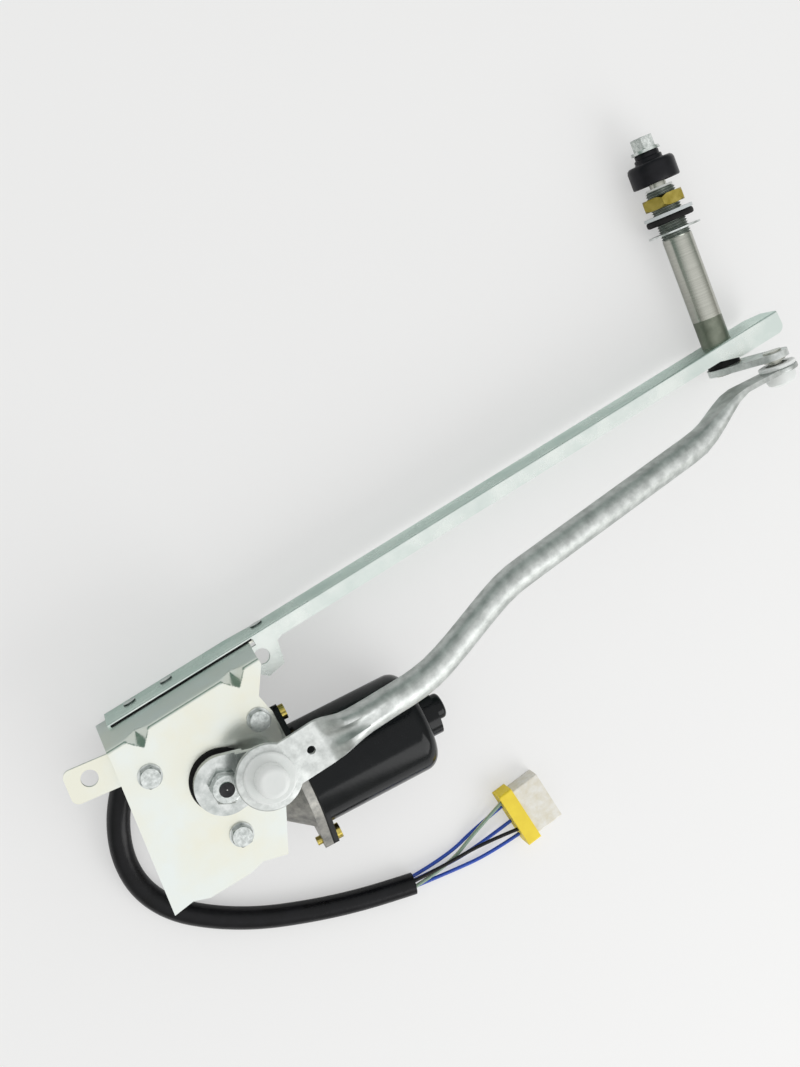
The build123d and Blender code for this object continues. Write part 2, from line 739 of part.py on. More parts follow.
with BuildPart() as crank_ball_stud:
    with BuildSketch(CRANK.offset(eye_z)):
        with Locations((CRANK_R, 0)):
            Circle(STUD_R)
    extrude(amount=ball_z - eye_z)
    with BuildSketch(CRANK.offset(eye_z - 0.8)):
        with Locations((CRANK_R, 0)):
            Circle(STUD_R + 1.5)
    extrude(amount=0.8)
    with Locations(CRANK.offset(ball_z).from_local_coords(Vector(CRANK_R, 0, 0))):
        Sphere(BALL_R)
    # the ball stops at the crank's upper face
    with BuildSketch(CRANK.offset(eye_z)):
        with Locations((CRANK_R, 0)):
            Circle(BALL_R + 2.0)
            Circle(STUD_R, mode=Mode.SUBTRACT)
    extrude(amount=CRANK_T, mode=Mode.SUBTRACT)
save(crank_ball_stud.part, "crank_ball_stud")

with BuildPart() as spring_washer:
    with BuildSketch(CRANK.offset(crank_z + CRANK_T)):
        Circle(OUTPUT_THREAD_R + 3.0)
        Circle(OUTPUT_THREAD_R + 0.2, mode=Mode.SUBTRACT)
        with Locations((-OUTPUT_THREAD_R - 2.0, 0)):
            Rectangle(6.0, 1.0, mode=Mode.SUBTRACT)
    extrude(amount=SPRING_WASHER_T)
save(spring_washer.part, "spring_washer")

crank_nut = hexagon(
    CRANK.offset(crank_z + CRANK_T + SPRING_WASHER_T),
    CRANK_NUT_AF,
    CRANK_NUT_T,
    OUTPUT_THREAD_R + THREAD_FIT,
)
save(crank_nut, "crank_nut")

# ---------------------------------------------------------------- link rod
flat_z = PLATE_TOP + LINK_LEVEL
flat_end_x = 54.0
tube_start_x = 67.0
link_side = -3.0
level_x = flat_end_x - 4.0
lever_eye_x = PIVOT_SPACING + lever_eye[0] * cos(lean) + far_ball * sin(lean)
link_drop = flat_z + LINK_TUBE_R - (PIVOT_AXIS_Z - lever_eye[1])
link_slope = link_drop / (lever_eye_x - level_x)
fall = atan2(link_slope, 1.0)


def on_link(x, y):
    """A point of the link's round tube, which falls evenly from the crank to the lever."""
    return Vector(SHAFT_X + x, SHAFT_Y + y, flat_z + LINK_TUBE_R - link_slope * (x - level_x))


link_points = [
    on_link(tube_start_x, link_side),
    on_link(126.0, -7.5),
    on_link(189.0, 10.0),
    on_link(PIVOT_SPACING - LINK_END_FLAT, 11.2),
]
link_start_dir = (link_points[1] - link_points[0]).normalized()
link_end_dir = (link_points[3] - link_points[2]).normalized()
far_eye_top = far_ball + LINK_FLAT_T / 2 + 1.0
far_eye_mid = far_eye_top - LINK_FLAT_T / 2
far_flat = (lever_eye[0] - FAR_FLAT_LENGTH, lever_eye[1] - FAR_FLAT_LENGTH * tan(fall))
far_dir = (PIVOT.x_dir * cos(fall) + PIVOT.y_dir * sin(fall)).normalized()
far_flat_at = PIVOT.offset(far_eye_mid).from_local_coords(Vector(*far_flat, 0))

with BuildPart() as link_rod:
    with BuildSketch(SHAFT.offset(flat_z)):
        with Locations(crank_eye):
            Circle(LINK_EYE_R)
        with Locations(((crank_eye[0] + flat_end_x) / 2, link_side)):
            Rectangle(flat_end_x - crank_eye[0], LINK_FLAT_W)
        with Locations(crank_eye):
            Circle(BALL_R + 3.0, mode=Mode.SUBTRACT)
        with Locations((45.0, link_side)):
            Circle(2.2, mode=Mode.SUBTRACT)
    extrude(amount=LINK_FLAT_T)
    # the flat end swells into the round tube
    with BuildSketch(
        Plane(
            origin=(SHAFT_X + flat_end_x, SHAFT_Y + link_side, flat_z + LINK_FLAT_T / 2),
            x_dir=(0, 1, 0),
            z_dir=(1, 0, 0),
        )
    ):
        RectangleRounded(LINK_FLAT_W, LINK_FLAT_T, 1.2)
    with BuildSketch(Plane(origin=link_points[0], x_dir=(0, 1, 0), z_dir=link_start_dir)):
        Circle(LINK_TUBE_R)
    loft()
    # the round tube with its two bends
    with BuildLine() as link_path:
        FilletPolyline(*link_points, radius=60.0)
    with BuildSketch(Plane(origin=link_points[0], x_dir=(0, 1, 0), z_dir=link_start_dir)):
        Circle(LINK_TUBE_R)
        Circle(LINK_TUBE_R - LINK_WALL, mode=Mode.SUBTRACT)
    sweep(path=link_path.line)
    # the far end is pressed flat across the pivot's axis
    with BuildSketch(Plane(origin=link_points[3], x_dir=(0, 1, 0), z_dir=link_end_dir)):
        Circle(LINK_TUBE_R)
    with BuildSketch(Plane(origin=far_flat_at, x_dir=pivot_out, z_dir=far_dir)):
        RectangleRounded(LINK_FLAT_T, 21.0, 1.2)
    loft()
    with BuildSketch(PIVOT.offset(far_eye_top - LINK_FLAT_T)):
        with Locations(lever_eye):
            Circle(FAR_EYE_R)
        with Locations(far_flat):
            Rectangle(0.6, 20.0, rotation=degrees(fall))
        make_hull()
        with Locations(lever_eye):
            Circle(BALL_R + 3.0, mode=Mode.SUBTRACT)
    extrude(amount=LINK_FLAT_T)
save(link_rod.part, "link_rod")

with BuildPart() as crank_socket:
    with BuildSketch(SHAFT.offset(flat_z)):
        with Locations(crank_eye):
            Circle(BALL_R + 3.0)
    extrude(amount=LINK_FLAT_T)
    with BuildSketch(SHAFT.offset(flat_z + LINK_FLAT_T)):
        with Locations(crank_eye):
            Circle(SOCKET_R)
    extrude(amount=SOCKET_T)
    collar_rim = crank_socket.faces().sort_by(Axis.Z)[-1].edges()
    fillet(collar_rim, 1.2)
    with BuildSketch(SHAFT.offset(flat_z + LINK_FLAT_T + SOCKET_T)):
        with Locations(crank_eye):
            Circle(DOME_R)
    extrude(amount=DOME_H)
    dome_rim = crank_socket.faces().sort_by(Axis.Z)[-1].edges()
    fillet(dome_rim, 3.0)
save(crank_socket.part, "crank_socket")

with BuildPart() as lever_socket:
    with BuildSketch(PIVOT.offset(far_ball - BALL_R - 2.5)):
        with Locations(lever_eye):
            Circle(BALL_R + 3.0)
    extrude(amount=far_eye_top - far_ball + BALL_R + 2.5)
    with BuildSketch(PIVOT.offset(far_eye_top)):
        with Locations(lever_eye):
            Circle(FAR_EYE_R - 0.5)
    extrude(amount=2.5)
    with Locations(PIVOT.offset(far_ball).from_local_coords(Vector(*lever_eye, 0))):
        Sphere(BALL_R + GAP, mode=Mode.SUBTRACT)
    with BuildSketch(PIVOT.offset(far_ball)):
        with Locations(lever_eye):
            Circle(STUD_R + 1.2)
    extrude(amount=12.0, mode=Mode.SUBTRACT)
save(lever_socket.part, "lever_socket")

# ---------------------------------------------------------------- wiper pivot
with BuildPart() as lever_arm:
    with BuildSketch(PIVOT.offset(lever_under)):
        Circle(LEVER_HUB_R)
        with Locations(lever_eye):
            Circle(LEVER_EYE_R)
        make_hull()
        Circle(PIVOT_SHAFT_R, mode=Mode.SUBTRACT)
        with Locations(lever_eye):
            Circle(STUD_R, mode=Mode.SUBTRACT)
    extrude(amount=LEVER_T)
save(lever_arm.part, "lever_arm")

with BuildPart() as lever_ball_stud:
    with BuildSketch(PIVOT.offset(far_ball)):
        with Locations(lever_eye):
            Circle(STUD_R)
    extrude(amount=lever_top - far_ball)
    with BuildSketch(PIVOT.offset(lever_under)):
        with Locations(lever_eye):
            Circle(STUD_R + 2.5)
    extrude(amount=-1.2)
    with BuildSketch(PIVOT.offset(lever_top)):
        with Locations(lever_eye):
            Circle(STUD_R + 1.5)
    extrude(amount=1.0)
    with Locations(PIVOT.offset(far_ball).from_local_coords(Vector(*lever_eye, 0))):
        Sphere(BALL_R)
save(lever_ball_stud.part, "lever_ball_stud")

with BuildPart() as pivot_shaft:
    with BuildSketch(PIVOT.offset(lever_under)):
        Circle(PIVOT_SHAFT_R)
    extrude(amount=CAP_TOP - lever_under)
    with BuildSketch(PIVOT.offset(lever_under)):
        Circle(PIVOT_SHAFT_R + 1.5)
    extrude(amount=-1.2)
    with BuildSketch(PIVOT.offset(CAP_TOP)):
        Circle(OUTPUT_THREAD_R)
    extrude(amount=ARM_NUT_T - 1.0)
save(pivot_shaft.part, "pivot_shaft")

with BuildPart() as pivot_tube:
    with BuildSketch(PIVOT.offset(-TUBE_INNER)):
        Circle(TUBE_R)
        Circle(TUBE_BORE_R, mode=Mode.SUBTRACT)
    extrude(amount=TUBE_INNER + TUBE_LENGTH)
    tube_rims = pivot_tube.edges().filter_by(GeomType.CIRCLE).filter_by(
        lambda edge: edge.radius > TUBE_BORE_R + 0.5
    )
    chamfer(tube_rims, 0.6)
save(pivot_tube.part, "pivot_tube")

for name, foot in (("inner_bush", -TUBE_INNER), ("outer_bush", TUBE_LENGTH - BUSH_LENGTH)):
    bush = ring(PIVOT.offset(foot), TUBE_BORE_R, PIVOT_SHAFT_R + RUN_FIT, BUSH_LENGTH)
    save(bush, name)

pivot_seal = ring(PIVOT.offset(lever_top), TUBE_R + 1.0, PIVOT_SHAFT_R, LEVER_GAP - GAP)
save(pivot_seal, "pivot_seal")
brass_ring = ring(PIVOT.offset(-TUBE_INNER + 1.0), TUBE_R + 1.4, TUBE_R, 1.4)
save(brass_ring, "brass_ring")
steel_washer = ring(
    PIVOT.offset(STEEL_WASHER_AT), STEEL_WASHER_R, TUBE_R + GAP, STEEL_WASHER_T
)
save(steel_washer, "steel_washer")
rubber_washer = ring(
    PIVOT.offset(RUBBER_WASHER_AT), RUBBER_WASHER_R, TUBE_R + 0.1, RUBBER_WASHER_T
)
save(rubber_washer, "rubber_washer")
panel_washer = ring(
    PIVOT.offset(RUBBER_WASHER_AT + RUBBER_WASHER_T), PANEL_WASHER_R, TUBE_R + GAP, PANEL_WASHER_T
)
save(panel_washer, "panel_washer")
lock_nut = hexagon(PIVOT.offset(LOCK_NUT_AT), LOCK_NUT_AF, LOCK_NUT_T, TUBE_R + THREAD_FIT)
save(lock_nut, "lock_nut")
shaft_circlip = ring(PIVOT.offset(TUBE_LENGTH + GAP), CIRCLIP_R, PIVOT_SHAFT_R, CIRCLIP_T)
save(shaft_circlip, "shaft_circlip")

with BuildPart() as shaft_cap:
    with BuildSketch(PIVOT.offset(CAP_AT)):
        Circle(CAP_R)
    extrude(amount=CAP_SKIRT)
    shoulder = shaft_cap.faces().sort_by(Axis.Y)[-1].edges()
    fillet(shoulder, 1.5)
    with BuildSketch(PIVOT.offset(CAP_AT + CAP_SKIRT - 1.0)):
        Circle(CAP_NECK_R)
    extrude(amount=4.0)
    with BuildSketch(PIVOT.offset(CAP_AT + CAP_SKIRT + 3.0)):
        Circle(CAP_NECK_R - 1.0)
    extrude(amount=CAP_TOP - CAP_AT - CAP_SKIRT - 3.0)
    with BuildSketch(PIVOT.offset(CAP_AT)):
        Circle(CAP_R - CAP_WALL)
    extrude(amount=CAP_SKIRT - CAP_WALL, mode=Mode.SUBTRACT)
    with BuildSketch(PIVOT.offset(CAP_AT)):
        Circle(PIVOT_SHAFT_R)
    extrude(amount=CAP_TOP - CAP_AT, mode=Mode.SUBTRACT)
save(shaft_cap.part, "shaft_cap")

with BuildPart() as arm_nut:
    with BuildSketch(PIVOT.offset(CAP_TOP)):
        Circle(ARM_NUT_FLANGE_R)
        Circle(OUTPUT_THREAD_R + THREAD_FIT, mode=Mode.SUBTRACT)
    extrude(amount=1.8, taper=12)
    add(
        hexagon(
            PIVOT.offset(CAP_TOP + 1.8), ARM_NUT_AF, ARM_NUT_T - 1.8, OUTPUT_THREAD_R + THREAD_FIT
        )
    )
save(arm_nut.part, "arm_nut")

# ---------------------------------------------------------------- harness
PLUG = Plane(
    origin=(SHAFT_X + 131.4, SHAFT_Y - 137.9, 0),
    x_dir=(cos(radians(3.0)), sin(radians(3.0)), 0),
    z_dir=(0, 0, 1),
)
FLOOR_LIFT = 0.1


def cord(plane_points, radius, name):
    """A plain tube along straight runs joined by the largest tangent arcs that they allow."""
    points = [Vector(*p) for p in plane_points]
    runs = [points[i + 1] - points[i] for i in range(len(points) - 1)]
    radii = []
    for before, after in zip(runs, runs[1:]):
        half_turn = radians(before.get_angle(after)) / 2
        radii.append(0.45 * min(before.length, after.length) / tan(half_turn))
    with BuildPart() as tube:
        with BuildLine() as route:
            FilletPolyline(*points, radius=radii)
        with BuildSketch(Plane(origin=points[0], z_dir=runs[0])):
            Circle(radius)
        sweep(path=route.line)
    length = route.wire().length
    share = tube.part.volume / (pi * radius * radius * length)
    print(name, "length", round(length, 1), "radii", [round(r) for r in radii], "volume", round(share, 4))
    return tube.part


sleeve_start = lead_exit + lead_dir * 5.0
sleeve_turn = sleeve_start + lead_dir * 16.0
sleeve_z = SLEEVE_R
sleeve_route = [
    (sleeve_start.X, sleeve_start.Y, sleeve_start.Z),
    (sleeve_turn.X, sleeve_turn.Y, sleeve_turn.Z),
    (SHAFT_X - 50.5, SHAFT_Y + 8.0, 13.5),
    (SHAFT_X - 62.5, SHAFT_Y - 9.0, 7.6),
    (SHAFT_X - 70.0, SHAFT_Y - 28.0, sleeve_z),
    (SHAFT_X - 70.5, SHAFT_Y - 48.5, sleeve_z),
    (SHAFT_X - 62.0, SHAFT_Y - 68.5, sleeve_z),
    (SHAFT_X - 45.0, SHAFT_Y - 86.0, sleeve_z),
    (SHAFT_X - 24.0, SHAFT_Y - 101.5, sleeve_z),
    (SHAFT_X + 0.0, SHAFT_Y - 114.0, sleeve_z),
    (SHAFT_X + 21.0, SHAFT_Y - 123.3, sleeve_z),
    (SHAFT_X + 42.0, SHAFT_Y - 131.0, sleeve_z),
    (SHAFT_X + 61.5, SHAFT_Y - 137.0, sleeve_z),
]
save(cord(sleeve_route, SLEEVE_R, "harness_sleeve"), "harness_sleeve")

sleeve_end = Vector(*sleeve_route[-1])
sleeve_dir = (sleeve_end - Vector(*sleeve_route[-2])).normalized()
sleeve_side = Vector(-sleeve_dir.Y, sleeve_dir.X, 0)
# each wire: place in the sleeve's end, place in the retainer's back, then the points between
wires = {
    "wire_blue_1": ((-3.1, 4.0), (-12.0, 4.6), [(87.0, -147.0, 1.6), (110.5, -151.0, 1.8)]),
    "wire_blue_2": ((0.0, 2.4), (-2.0, 4.6), [(86.5, -142.0, 1.4), (109.0, -142.5, 1.6)]),
    "wire_blue_3": ((3.1, 4.0), (9.0, 4.6), [(87.5, -137.0, 1.5), (110.5, -132.0, 1.8)]),
    "wire_striped": ((-1.7, 8.0), (13.0, 9.2), [(85.0, -141.0, 4.6), (107.0, -133.5, 4.4)]),
    "wire_black": ((1.8, 8.0), (-7.0, 9.2), [(84.5, -138.6, 7.4), (108.5, -140.5, 7.0)]),
}
for name, (start, entry, between) in wires.items():
    first = sleeve_end + sleeve_side * start[0]
    last = PLUG.from_local_coords(Vector(0, entry[0], 0))
    route = [(first.X, first.Y, start[1])]
    route += [(SHAFT_X + x, SHAFT_Y + y, z) for x, y, z in between]
    route += [(last.X, last.Y, entry[1])]
    save(cord(route, WIRE_R, name), name)

cavity_rows = [
    (column * 7.0, FLOOR_LIFT + PLUG_HEIGHT / 2 + row * 4.6)
    for column in (-1.5, -0.5, 0.5, 1.5)
    for row in (-0.5, 0.5)
]
PLUG_BACK = Plane(origin=PLUG.origin, x_dir=PLUG.y_dir, z_dir=PLUG.x_dir)
with BuildPart() as plug_retainer:
    with BuildSketch(PLUG_BACK):
        with Locations((0, RETAINER_HEIGHT / 2)):
            RectangleRounded(RETAINER_WIDTH, RETAINER_HEIGHT, 1.2)
    extrude(amount=RETAINER_LENGTH)
save(plug_retainer.part, "plug_retainer")

with BuildPart() as plug_housing:
    with BuildSketch(PLUG_BACK.offset(RETAINER_LENGTH)):
        with Locations((0, FLOOR_LIFT + PLUG_HEIGHT / 2)):
            RectangleRounded(PLUG_WIDTH, PLUG_HEIGHT, 1.0)
        with Locations(*cavity_rows):
            Rectangle(3.0, 3.0, mode=Mode.SUBTRACT)
    extrude(amount=PLUG_LENGTH)
save(plug_housing.part, "plug_housing")

with BuildPart() as plug_terminals:
    with BuildSketch(PLUG_BACK.offset(RETAINER_LENGTH)):
        with Locations(*cavity_rows):
            Rectangle(2.4, 2.4)
    extrude(amount=PLUG_LENGTH - 4.0)
save(plug_terminals.part, "plug_terminals")
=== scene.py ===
"""Wiper drive: the pivot, link, bracket, cords and finishes around the CAD frame, and the studio.

The frame is the CAD model's: X along the support bar, Y along the wiper pivot, Z up from the
ground. Blender works in metres; profiles, routes and stations are given in millimetres.
"""

import json
from math import cos, pi, radians, sin

import bmesh
import bpy
from mathutils import Matrix, Vector


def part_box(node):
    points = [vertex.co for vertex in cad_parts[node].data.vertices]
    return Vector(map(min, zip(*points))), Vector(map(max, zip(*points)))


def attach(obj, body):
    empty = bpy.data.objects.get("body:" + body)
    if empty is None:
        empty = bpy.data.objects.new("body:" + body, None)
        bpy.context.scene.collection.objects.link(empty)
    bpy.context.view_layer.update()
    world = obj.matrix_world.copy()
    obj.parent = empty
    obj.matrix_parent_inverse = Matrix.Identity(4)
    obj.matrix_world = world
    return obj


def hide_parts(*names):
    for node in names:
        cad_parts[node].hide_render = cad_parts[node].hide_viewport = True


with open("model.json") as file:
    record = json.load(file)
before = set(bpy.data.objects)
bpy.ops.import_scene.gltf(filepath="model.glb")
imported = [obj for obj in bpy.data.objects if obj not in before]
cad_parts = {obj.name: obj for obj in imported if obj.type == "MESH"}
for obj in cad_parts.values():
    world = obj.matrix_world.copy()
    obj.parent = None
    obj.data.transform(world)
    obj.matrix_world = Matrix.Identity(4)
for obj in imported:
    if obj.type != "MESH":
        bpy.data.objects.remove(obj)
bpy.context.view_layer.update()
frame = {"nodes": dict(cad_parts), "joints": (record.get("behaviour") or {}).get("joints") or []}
nodes = frame["nodes"]
joint_at = {joint["name"]: Vector(joint["pos_m"]) for joint in frame["joints"]}
joint_axis = {joint["name"]: Vector(joint["axis"]) for joint in frame["joints"]}

MM = 0.001
SHEET = 2.3  # the bracket's sheet
SLEEVE_R = 6.5
WIRE_R = 1.1
BORE_R = 6.8  # through the pivot tube
LINK_R = 8.0  # the link's tube where it is round
EYE_DEPTH = 0.003  # in metres
shaft_at = Vector((joint_at["crank_spin"].x, joint_at["crank_spin"].y, 0))
plate_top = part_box("bracket_plate")[1][2]
pivot_at = joint_at["pivot_swing"]
pivot_out = joint_axis["pivot_swing"].normalized()
motor_at = joint_at["armature_spin"]
motor_along = joint_axis["armature_spin"].normalized()


def axis_frame(origin, along):
    """A placement whose Z axis runs along a shaft and whose origin is on that shaft."""
    across = Vector((0, 0, 1)).cross(along).normalized()
    up = along.cross(across).normalized()
    turn = Matrix((across, up, along)).transposed()
    return Matrix.Translation(origin) @ turn.to_4x4()


PIVOT = axis_frame(pivot_at, pivot_out)
MOTOR = axis_frame(motor_at, motor_along)
SHAFT = Matrix.Translation(shaft_at)


# ---------------------------------------------------------------- shared effects
def new_group(name, inputs, outputs):
    """An empty shader node group with its named sockets, and its two end nodes."""
    tree = bpy.data.node_groups.new(name, "ShaderNodeTree")
    for label, kind, value in inputs:
        socket = tree.interface.new_socket(name=label, in_out="INPUT", socket_type=kind)
        socket.default_value = value
    for label, kind in outputs:
        tree.interface.new_socket(name=label, in_out="OUTPUT", socket_type=kind)
    start = tree.nodes.new("NodeGroupInput")
    end = tree.nodes.new("NodeGroupOutput")
    return tree, start, end


def build_mottle():
    """Soft blotches of a second colour, with matching gloss and a fine grain in the surface."""
    tree, start, end = new_group(
        "mottle",
        [
            ("Base", "NodeSocketColor", (0.5, 0.5, 0.5, 1)),
            ("Second", "NodeSocketColor", (0.6, 0.6, 0.6, 1)),
            ("Scale", "NodeSocketFloat", 60.0),
            ("Roughness", "NodeSocketFloat", 0.4),
            ("Gloss Spread", "NodeSocketFloat", 0.1),
            ("Grain Scale", "NodeSocketFloat", 1500.0),
            ("Grain Height", "NodeSocketFloat", 0.1),
        ],
        [("Color", "NodeSocketColor"), ("Roughness", "NodeSocketFloat"), ("Normal", "NodeSocketVector")],
    )
    node, link = tree.nodes.new, tree.links.new
    place = node("ShaderNodeTexCoord")
    cloud = node("ShaderNodeTexNoise")
    cloud.inputs["Detail"].default_value = 5.0
    cloud.inputs["Roughness"].default_value = 0.6
    spread = node("ShaderNodeMapRange")
    spread.inputs["From Min"].default_value = 0.35
    spread.inputs["From Max"].default_value = 0.65
    blend = node("ShaderNodeMix")
    blend.data_type = "RGBA"
    gloss = node("ShaderNodeMath")
    gloss.operation = "MULTIPLY_ADD"
    grain = node("ShaderNodeTexNoise")
    grain.inputs["Detail"].default_value = 3.0
    bump = node("ShaderNodeBump")
    bump.inputs["Distance"].default_value = 0.0002
    link(place.outputs["Object"], cloud.inputs["Vector"])
    link(start.outputs["Scale"], cloud.inputs["Scale"])
    link(cloud.outputs["Fac"], spread.inputs["Value"])
    link(spread.outputs["Result"], blend.inputs["Factor"])
    link(start.outputs["Base"], blend.inputs[6])
    link(start.outputs["Second"], blend.inputs[7])
    link(cloud.outputs["Fac"], gloss.inputs[0])
    link(start.outputs["Gloss Spread"], gloss.inputs[1])
    link(start.outputs["Roughness"], gloss.inputs[2])
    link(place.outputs["Object"], grain.inputs["Vector"])
    link(start.outputs["Grain Scale"], grain.inputs["Scale"])
    link(grain.outputs["Fac"], bump.inputs["Height"])
    link(start.outputs["Grain Height"], bump.inputs["Strength"])
    link(blend.outputs[2], end.inputs["Color"])
    link(gloss.outputs[0], end.inputs["Roughness"])
    link(bump.outputs["Normal"], end.inputs["Normal"])
    return tree


def build_turning():
    """Fine rings around a shaft's axis, as a lathe leaves them. Z is the shaft's axis."""
    tree, start, end = new_group(
        "turning",
        [
            ("Vector", "NodeSocketVector", (0, 0, 0)),
            ("Ring Scale", "NodeSocketFloat", 900.0),
            ("Depth", "NodeSocketFloat", 0.15),
        ],
        [("Mask", "NodeSocketFloat"), ("Normal", "NodeSocketVector")],
    )
    node, link = tree.nodes.new, tree.links.new
    stretch = node("ShaderNodeVectorMath")
    stretch.operation = "MULTIPLY"
    stretch.inputs[1].default_value = (0.02, 0.02, 1.0)
    rings = node("ShaderNodeTexNoise")
    rings.inputs["Detail"].default_value = 4.0
    bump = node("ShaderNodeBump")
    bump.inputs["Distance"].default_value = 0.0002
    link(start.outputs["Vector"], stretch.inputs[0])
    link(stretch.outputs[0], rings.inputs["Vector"])
    link(start.outputs["Ring Scale"], rings.inputs["Scale"])
    link(rings.outputs["Fac"], bump.inputs["Height"])
    link(start.outputs["Depth"], bump.inputs["Strength"])
    link(rings.outputs["Fac"], end.inputs["Mask"])
    link(bump.outputs["Normal"], end.inputs["Normal"])
    return tree


def build_facing():
    """How far a face turns from an axis, the mask for painted shade: 0 on a nut's top, 1 on its flats and
    chamfers.
    """
    tree, start, end = new_group(
        "facing",
        [
            ("Axis", "NodeSocketVector", (0, 0, 1)),
            ("From", "NodeSocketFloat", 0.75),
            ("To", "NodeSocketFloat", 0.97),
        ],
        [("Mask", "NodeSocketFloat")],
    )
    node, link = tree.nodes.new, tree.links.new
    place = node("ShaderNodeTexCoord")
    along = node("ShaderNodeVectorMath")
    along.operation = "DOT_PRODUCT"
    either_way = node("ShaderNodeMath")
    either_way.operation = "ABSOLUTE"
    spread = node("ShaderNodeMapRange")
    spread.inputs["To Min"].default_value = 1.0
    spread.inputs["To Max"].default_value = 0.0
    link(place.outputs["Normal"], along.inputs[0])
    link(start.outputs["Axis"], along.inputs[1])
    link(along.outputs["Value"], either_way.inputs[0])
    link(either_way.outputs[0], spread.inputs["Value"])
    link(start.outputs["From"], spread.inputs["From Min"])
    link(start.outputs["To"], spread.inputs["From Max"])
    link(spread.outputs["Result"], end.inputs["Mask"])
    return tree


mottle = build_mottle()
turning = build_turning()
facing = build_facing()


def finish(name, base, second, scale, roughness, spread, grain, height, metallic=0.0, gloss=0.5):
    """A material with mottled colour and gloss over a fine grain."""
    material = bpy.data.materials.new(name)
    material.use_nodes = True
    tree = material.node_tree
    shader = tree.nodes["Principled BSDF"]
    group = tree.nodes.new("ShaderNodeGroup")
    group.node_tree = mottle
    group.inputs["Base"].default_value = (*base, 1)
    group.inputs["Second"].default_value = (*second, 1)
    group.inputs["Scale"].default_value = scale
    group.inputs["Roughness"].default_value = roughness
    group.inputs["Gloss Spread"].default_value = spread
    group.inputs["Grain Scale"].default_value = grain
    group.inputs["Grain Height"].default_value = height
    tree.links.new(group.outputs["Color"], shader.inputs["Base Color"])
    tree.links.new(group.outputs["Roughness"], shader.inputs["Roughness"])
    tree.links.new(group.outputs["Normal"], shader.inputs["Normal"])
    shader.inputs["Metallic"].default_value = metallic
    shader.inputs["Specular IOR Level"].default_value = gloss
    return material


def turned(name, base, second, roughness, placement, rings, depth):
    """A machined metal with rings around the axis of the given placement."""
    material = bpy.data.materials.new(name)
    material.use_nodes = True
    tree = material.node_tree
    shader = tree.nodes["Principled BSDF"]
    place = tree.nodes.new("ShaderNodeTexCoord")
    along = tree.nodes.new("ShaderNodeMapping")
    along.vector_type = "TEXTURE"
    along.inputs["Location"].default_value = placement.translation
    along.inputs["Rotation"].default_value = placement.to_euler()
    group = tree.nodes.new("ShaderNodeGroup")
    group.node_tree = turning
    group.inputs["Ring Scale"].default_value = rings
    group.inputs["Depth"].default_value = depth
    blend = tree.nodes.new("ShaderNodeMix")
    blend.data_type = "RGBA"
    blend.inputs[6].default_value = (*base, 1)
    blend.inputs[7].default_value = (*second, 1)
    tree.links.new(place.outputs["Object"], along.inputs["Vector"])
    tree.links.new(along.outputs["Vector"], group.inputs["Vector"])
    tree.links.new(group.outputs["Mask"], blend.inputs["Factor"])
    tree.links.new(blend.outputs[2], shader.inputs["Base Color"])
    tree.links.new(group.outputs["Normal"], shader.inputs["Normal"])
    shader.inputs["Metallic"].default_value = 1.0
    shader.inputs["Roughness"].default_value = roughness
    return material


def with_painted_shade(material, name, shade_colour, axis, low=0.75, high=0.97):
    """A copy of a finish with painted shade: darkened by its shade colour on the flats, chamfers and cut
    edges beside its face.
    """
    shaded_copy = material.copy()
    shaded_copy.name = name
    tree = shaded_copy.node_tree
    shader = tree.nodes["Principled BSDF"]
    colour = shader.inputs["Base Color"].links[0].from_socket
    group = tree.nodes.new("ShaderNodeGroup")
    group.node_tree = facing
    group.inputs["Axis"].default_value = axis
    group.inputs["From"].default_value = low
    group.inputs["To"].default_value = high
    blend = tree.nodes.new("ShaderNodeMix")
    blend.data_type = "RGBA"
    blend.blend_type = "MULTIPLY"
    blend.inputs[7].default_value = (*shade_colour, 1)
    tree.links.new(group.outputs["Mask"], blend.inputs["Factor"])
    tree.links.new(colour, blend.inputs[6])
    tree.links.new(blend.outputs[2], shader.inputs["Base Color"])
    return shaded_copy


# each finish: two colours, blotch scale, roughness and its spread, grain scale and height, then
# metallic and gloss where they aren't the usual ones
plate_zinc = finish("plate_zinc", (0.85, 0.89, 0.87), (0.86, 0.85, 0.74), 24, 0.16, 0.14, 700, 0.12, 1.0)
bar_zinc = finish("bar_zinc", (0.86, 0.90, 0.87), (0.70, 0.77, 0.74), 34, 0.18, 0.20, 900, 0.14, 1.0)
crank_zinc = finish("crank_zinc", (0.80, 0.82, 0.81), (0.50, 0.53, 0.52), 140, 0.12, 0.20, 1100, 0.14, 1.0)
black_oxide = finish(
    "black_oxide", (0.020, 0.020, 0.022), (0.045, 0.045, 0.048), 300, 0.35, 0.15, 1500, 0.15, 0.6
)
galvanised = finish("galvanised", (0.54, 0.56, 0.55), (0.80, 0.82, 0.81), 170, 0.40, 0.16, 420, 0.45, 1.0)
zinc_hardware = finish(
    "zinc_hardware", (0.82, 0.85, 0.84), (0.50, 0.53, 0.52), 420, 0.14, 0.18, 1800, 0.14, 1.0
)
cast_aluminium = finish(
    "cast_aluminium", (0.46, 0.45, 0.42), (0.26, 0.26, 0.25), 170, 0.40, 0.15, 800, 0.90, 1.0
)
black_paint = finish(
    "black_paint", (0.003, 0.004, 0.005), (0.005, 0.006, 0.007), 120, 0.12, 0.10, 600, 0.08, 0.0, 0.2
)
black_rubber = finish(
    "black_rubber", (0.007, 0.007, 0.007), (0.014, 0.014, 0.014), 200, 0.55, 0.15, 1600, 0.30, 0.0, 0.2
)
yellow_zinc = finish(
    "yellow_zinc", (0.42, 0.33, 0.07), (0.62, 0.50, 0.15), 220, 0.14, 0.18, 1500, 0.15, 1.0
)
dark_thread = finish(
    "dark_thread", (0.15, 0.18, 0.16), (0.30, 0.33, 0.30), 300, 0.28, 0.15, 1500, 0.20, 1.0
)
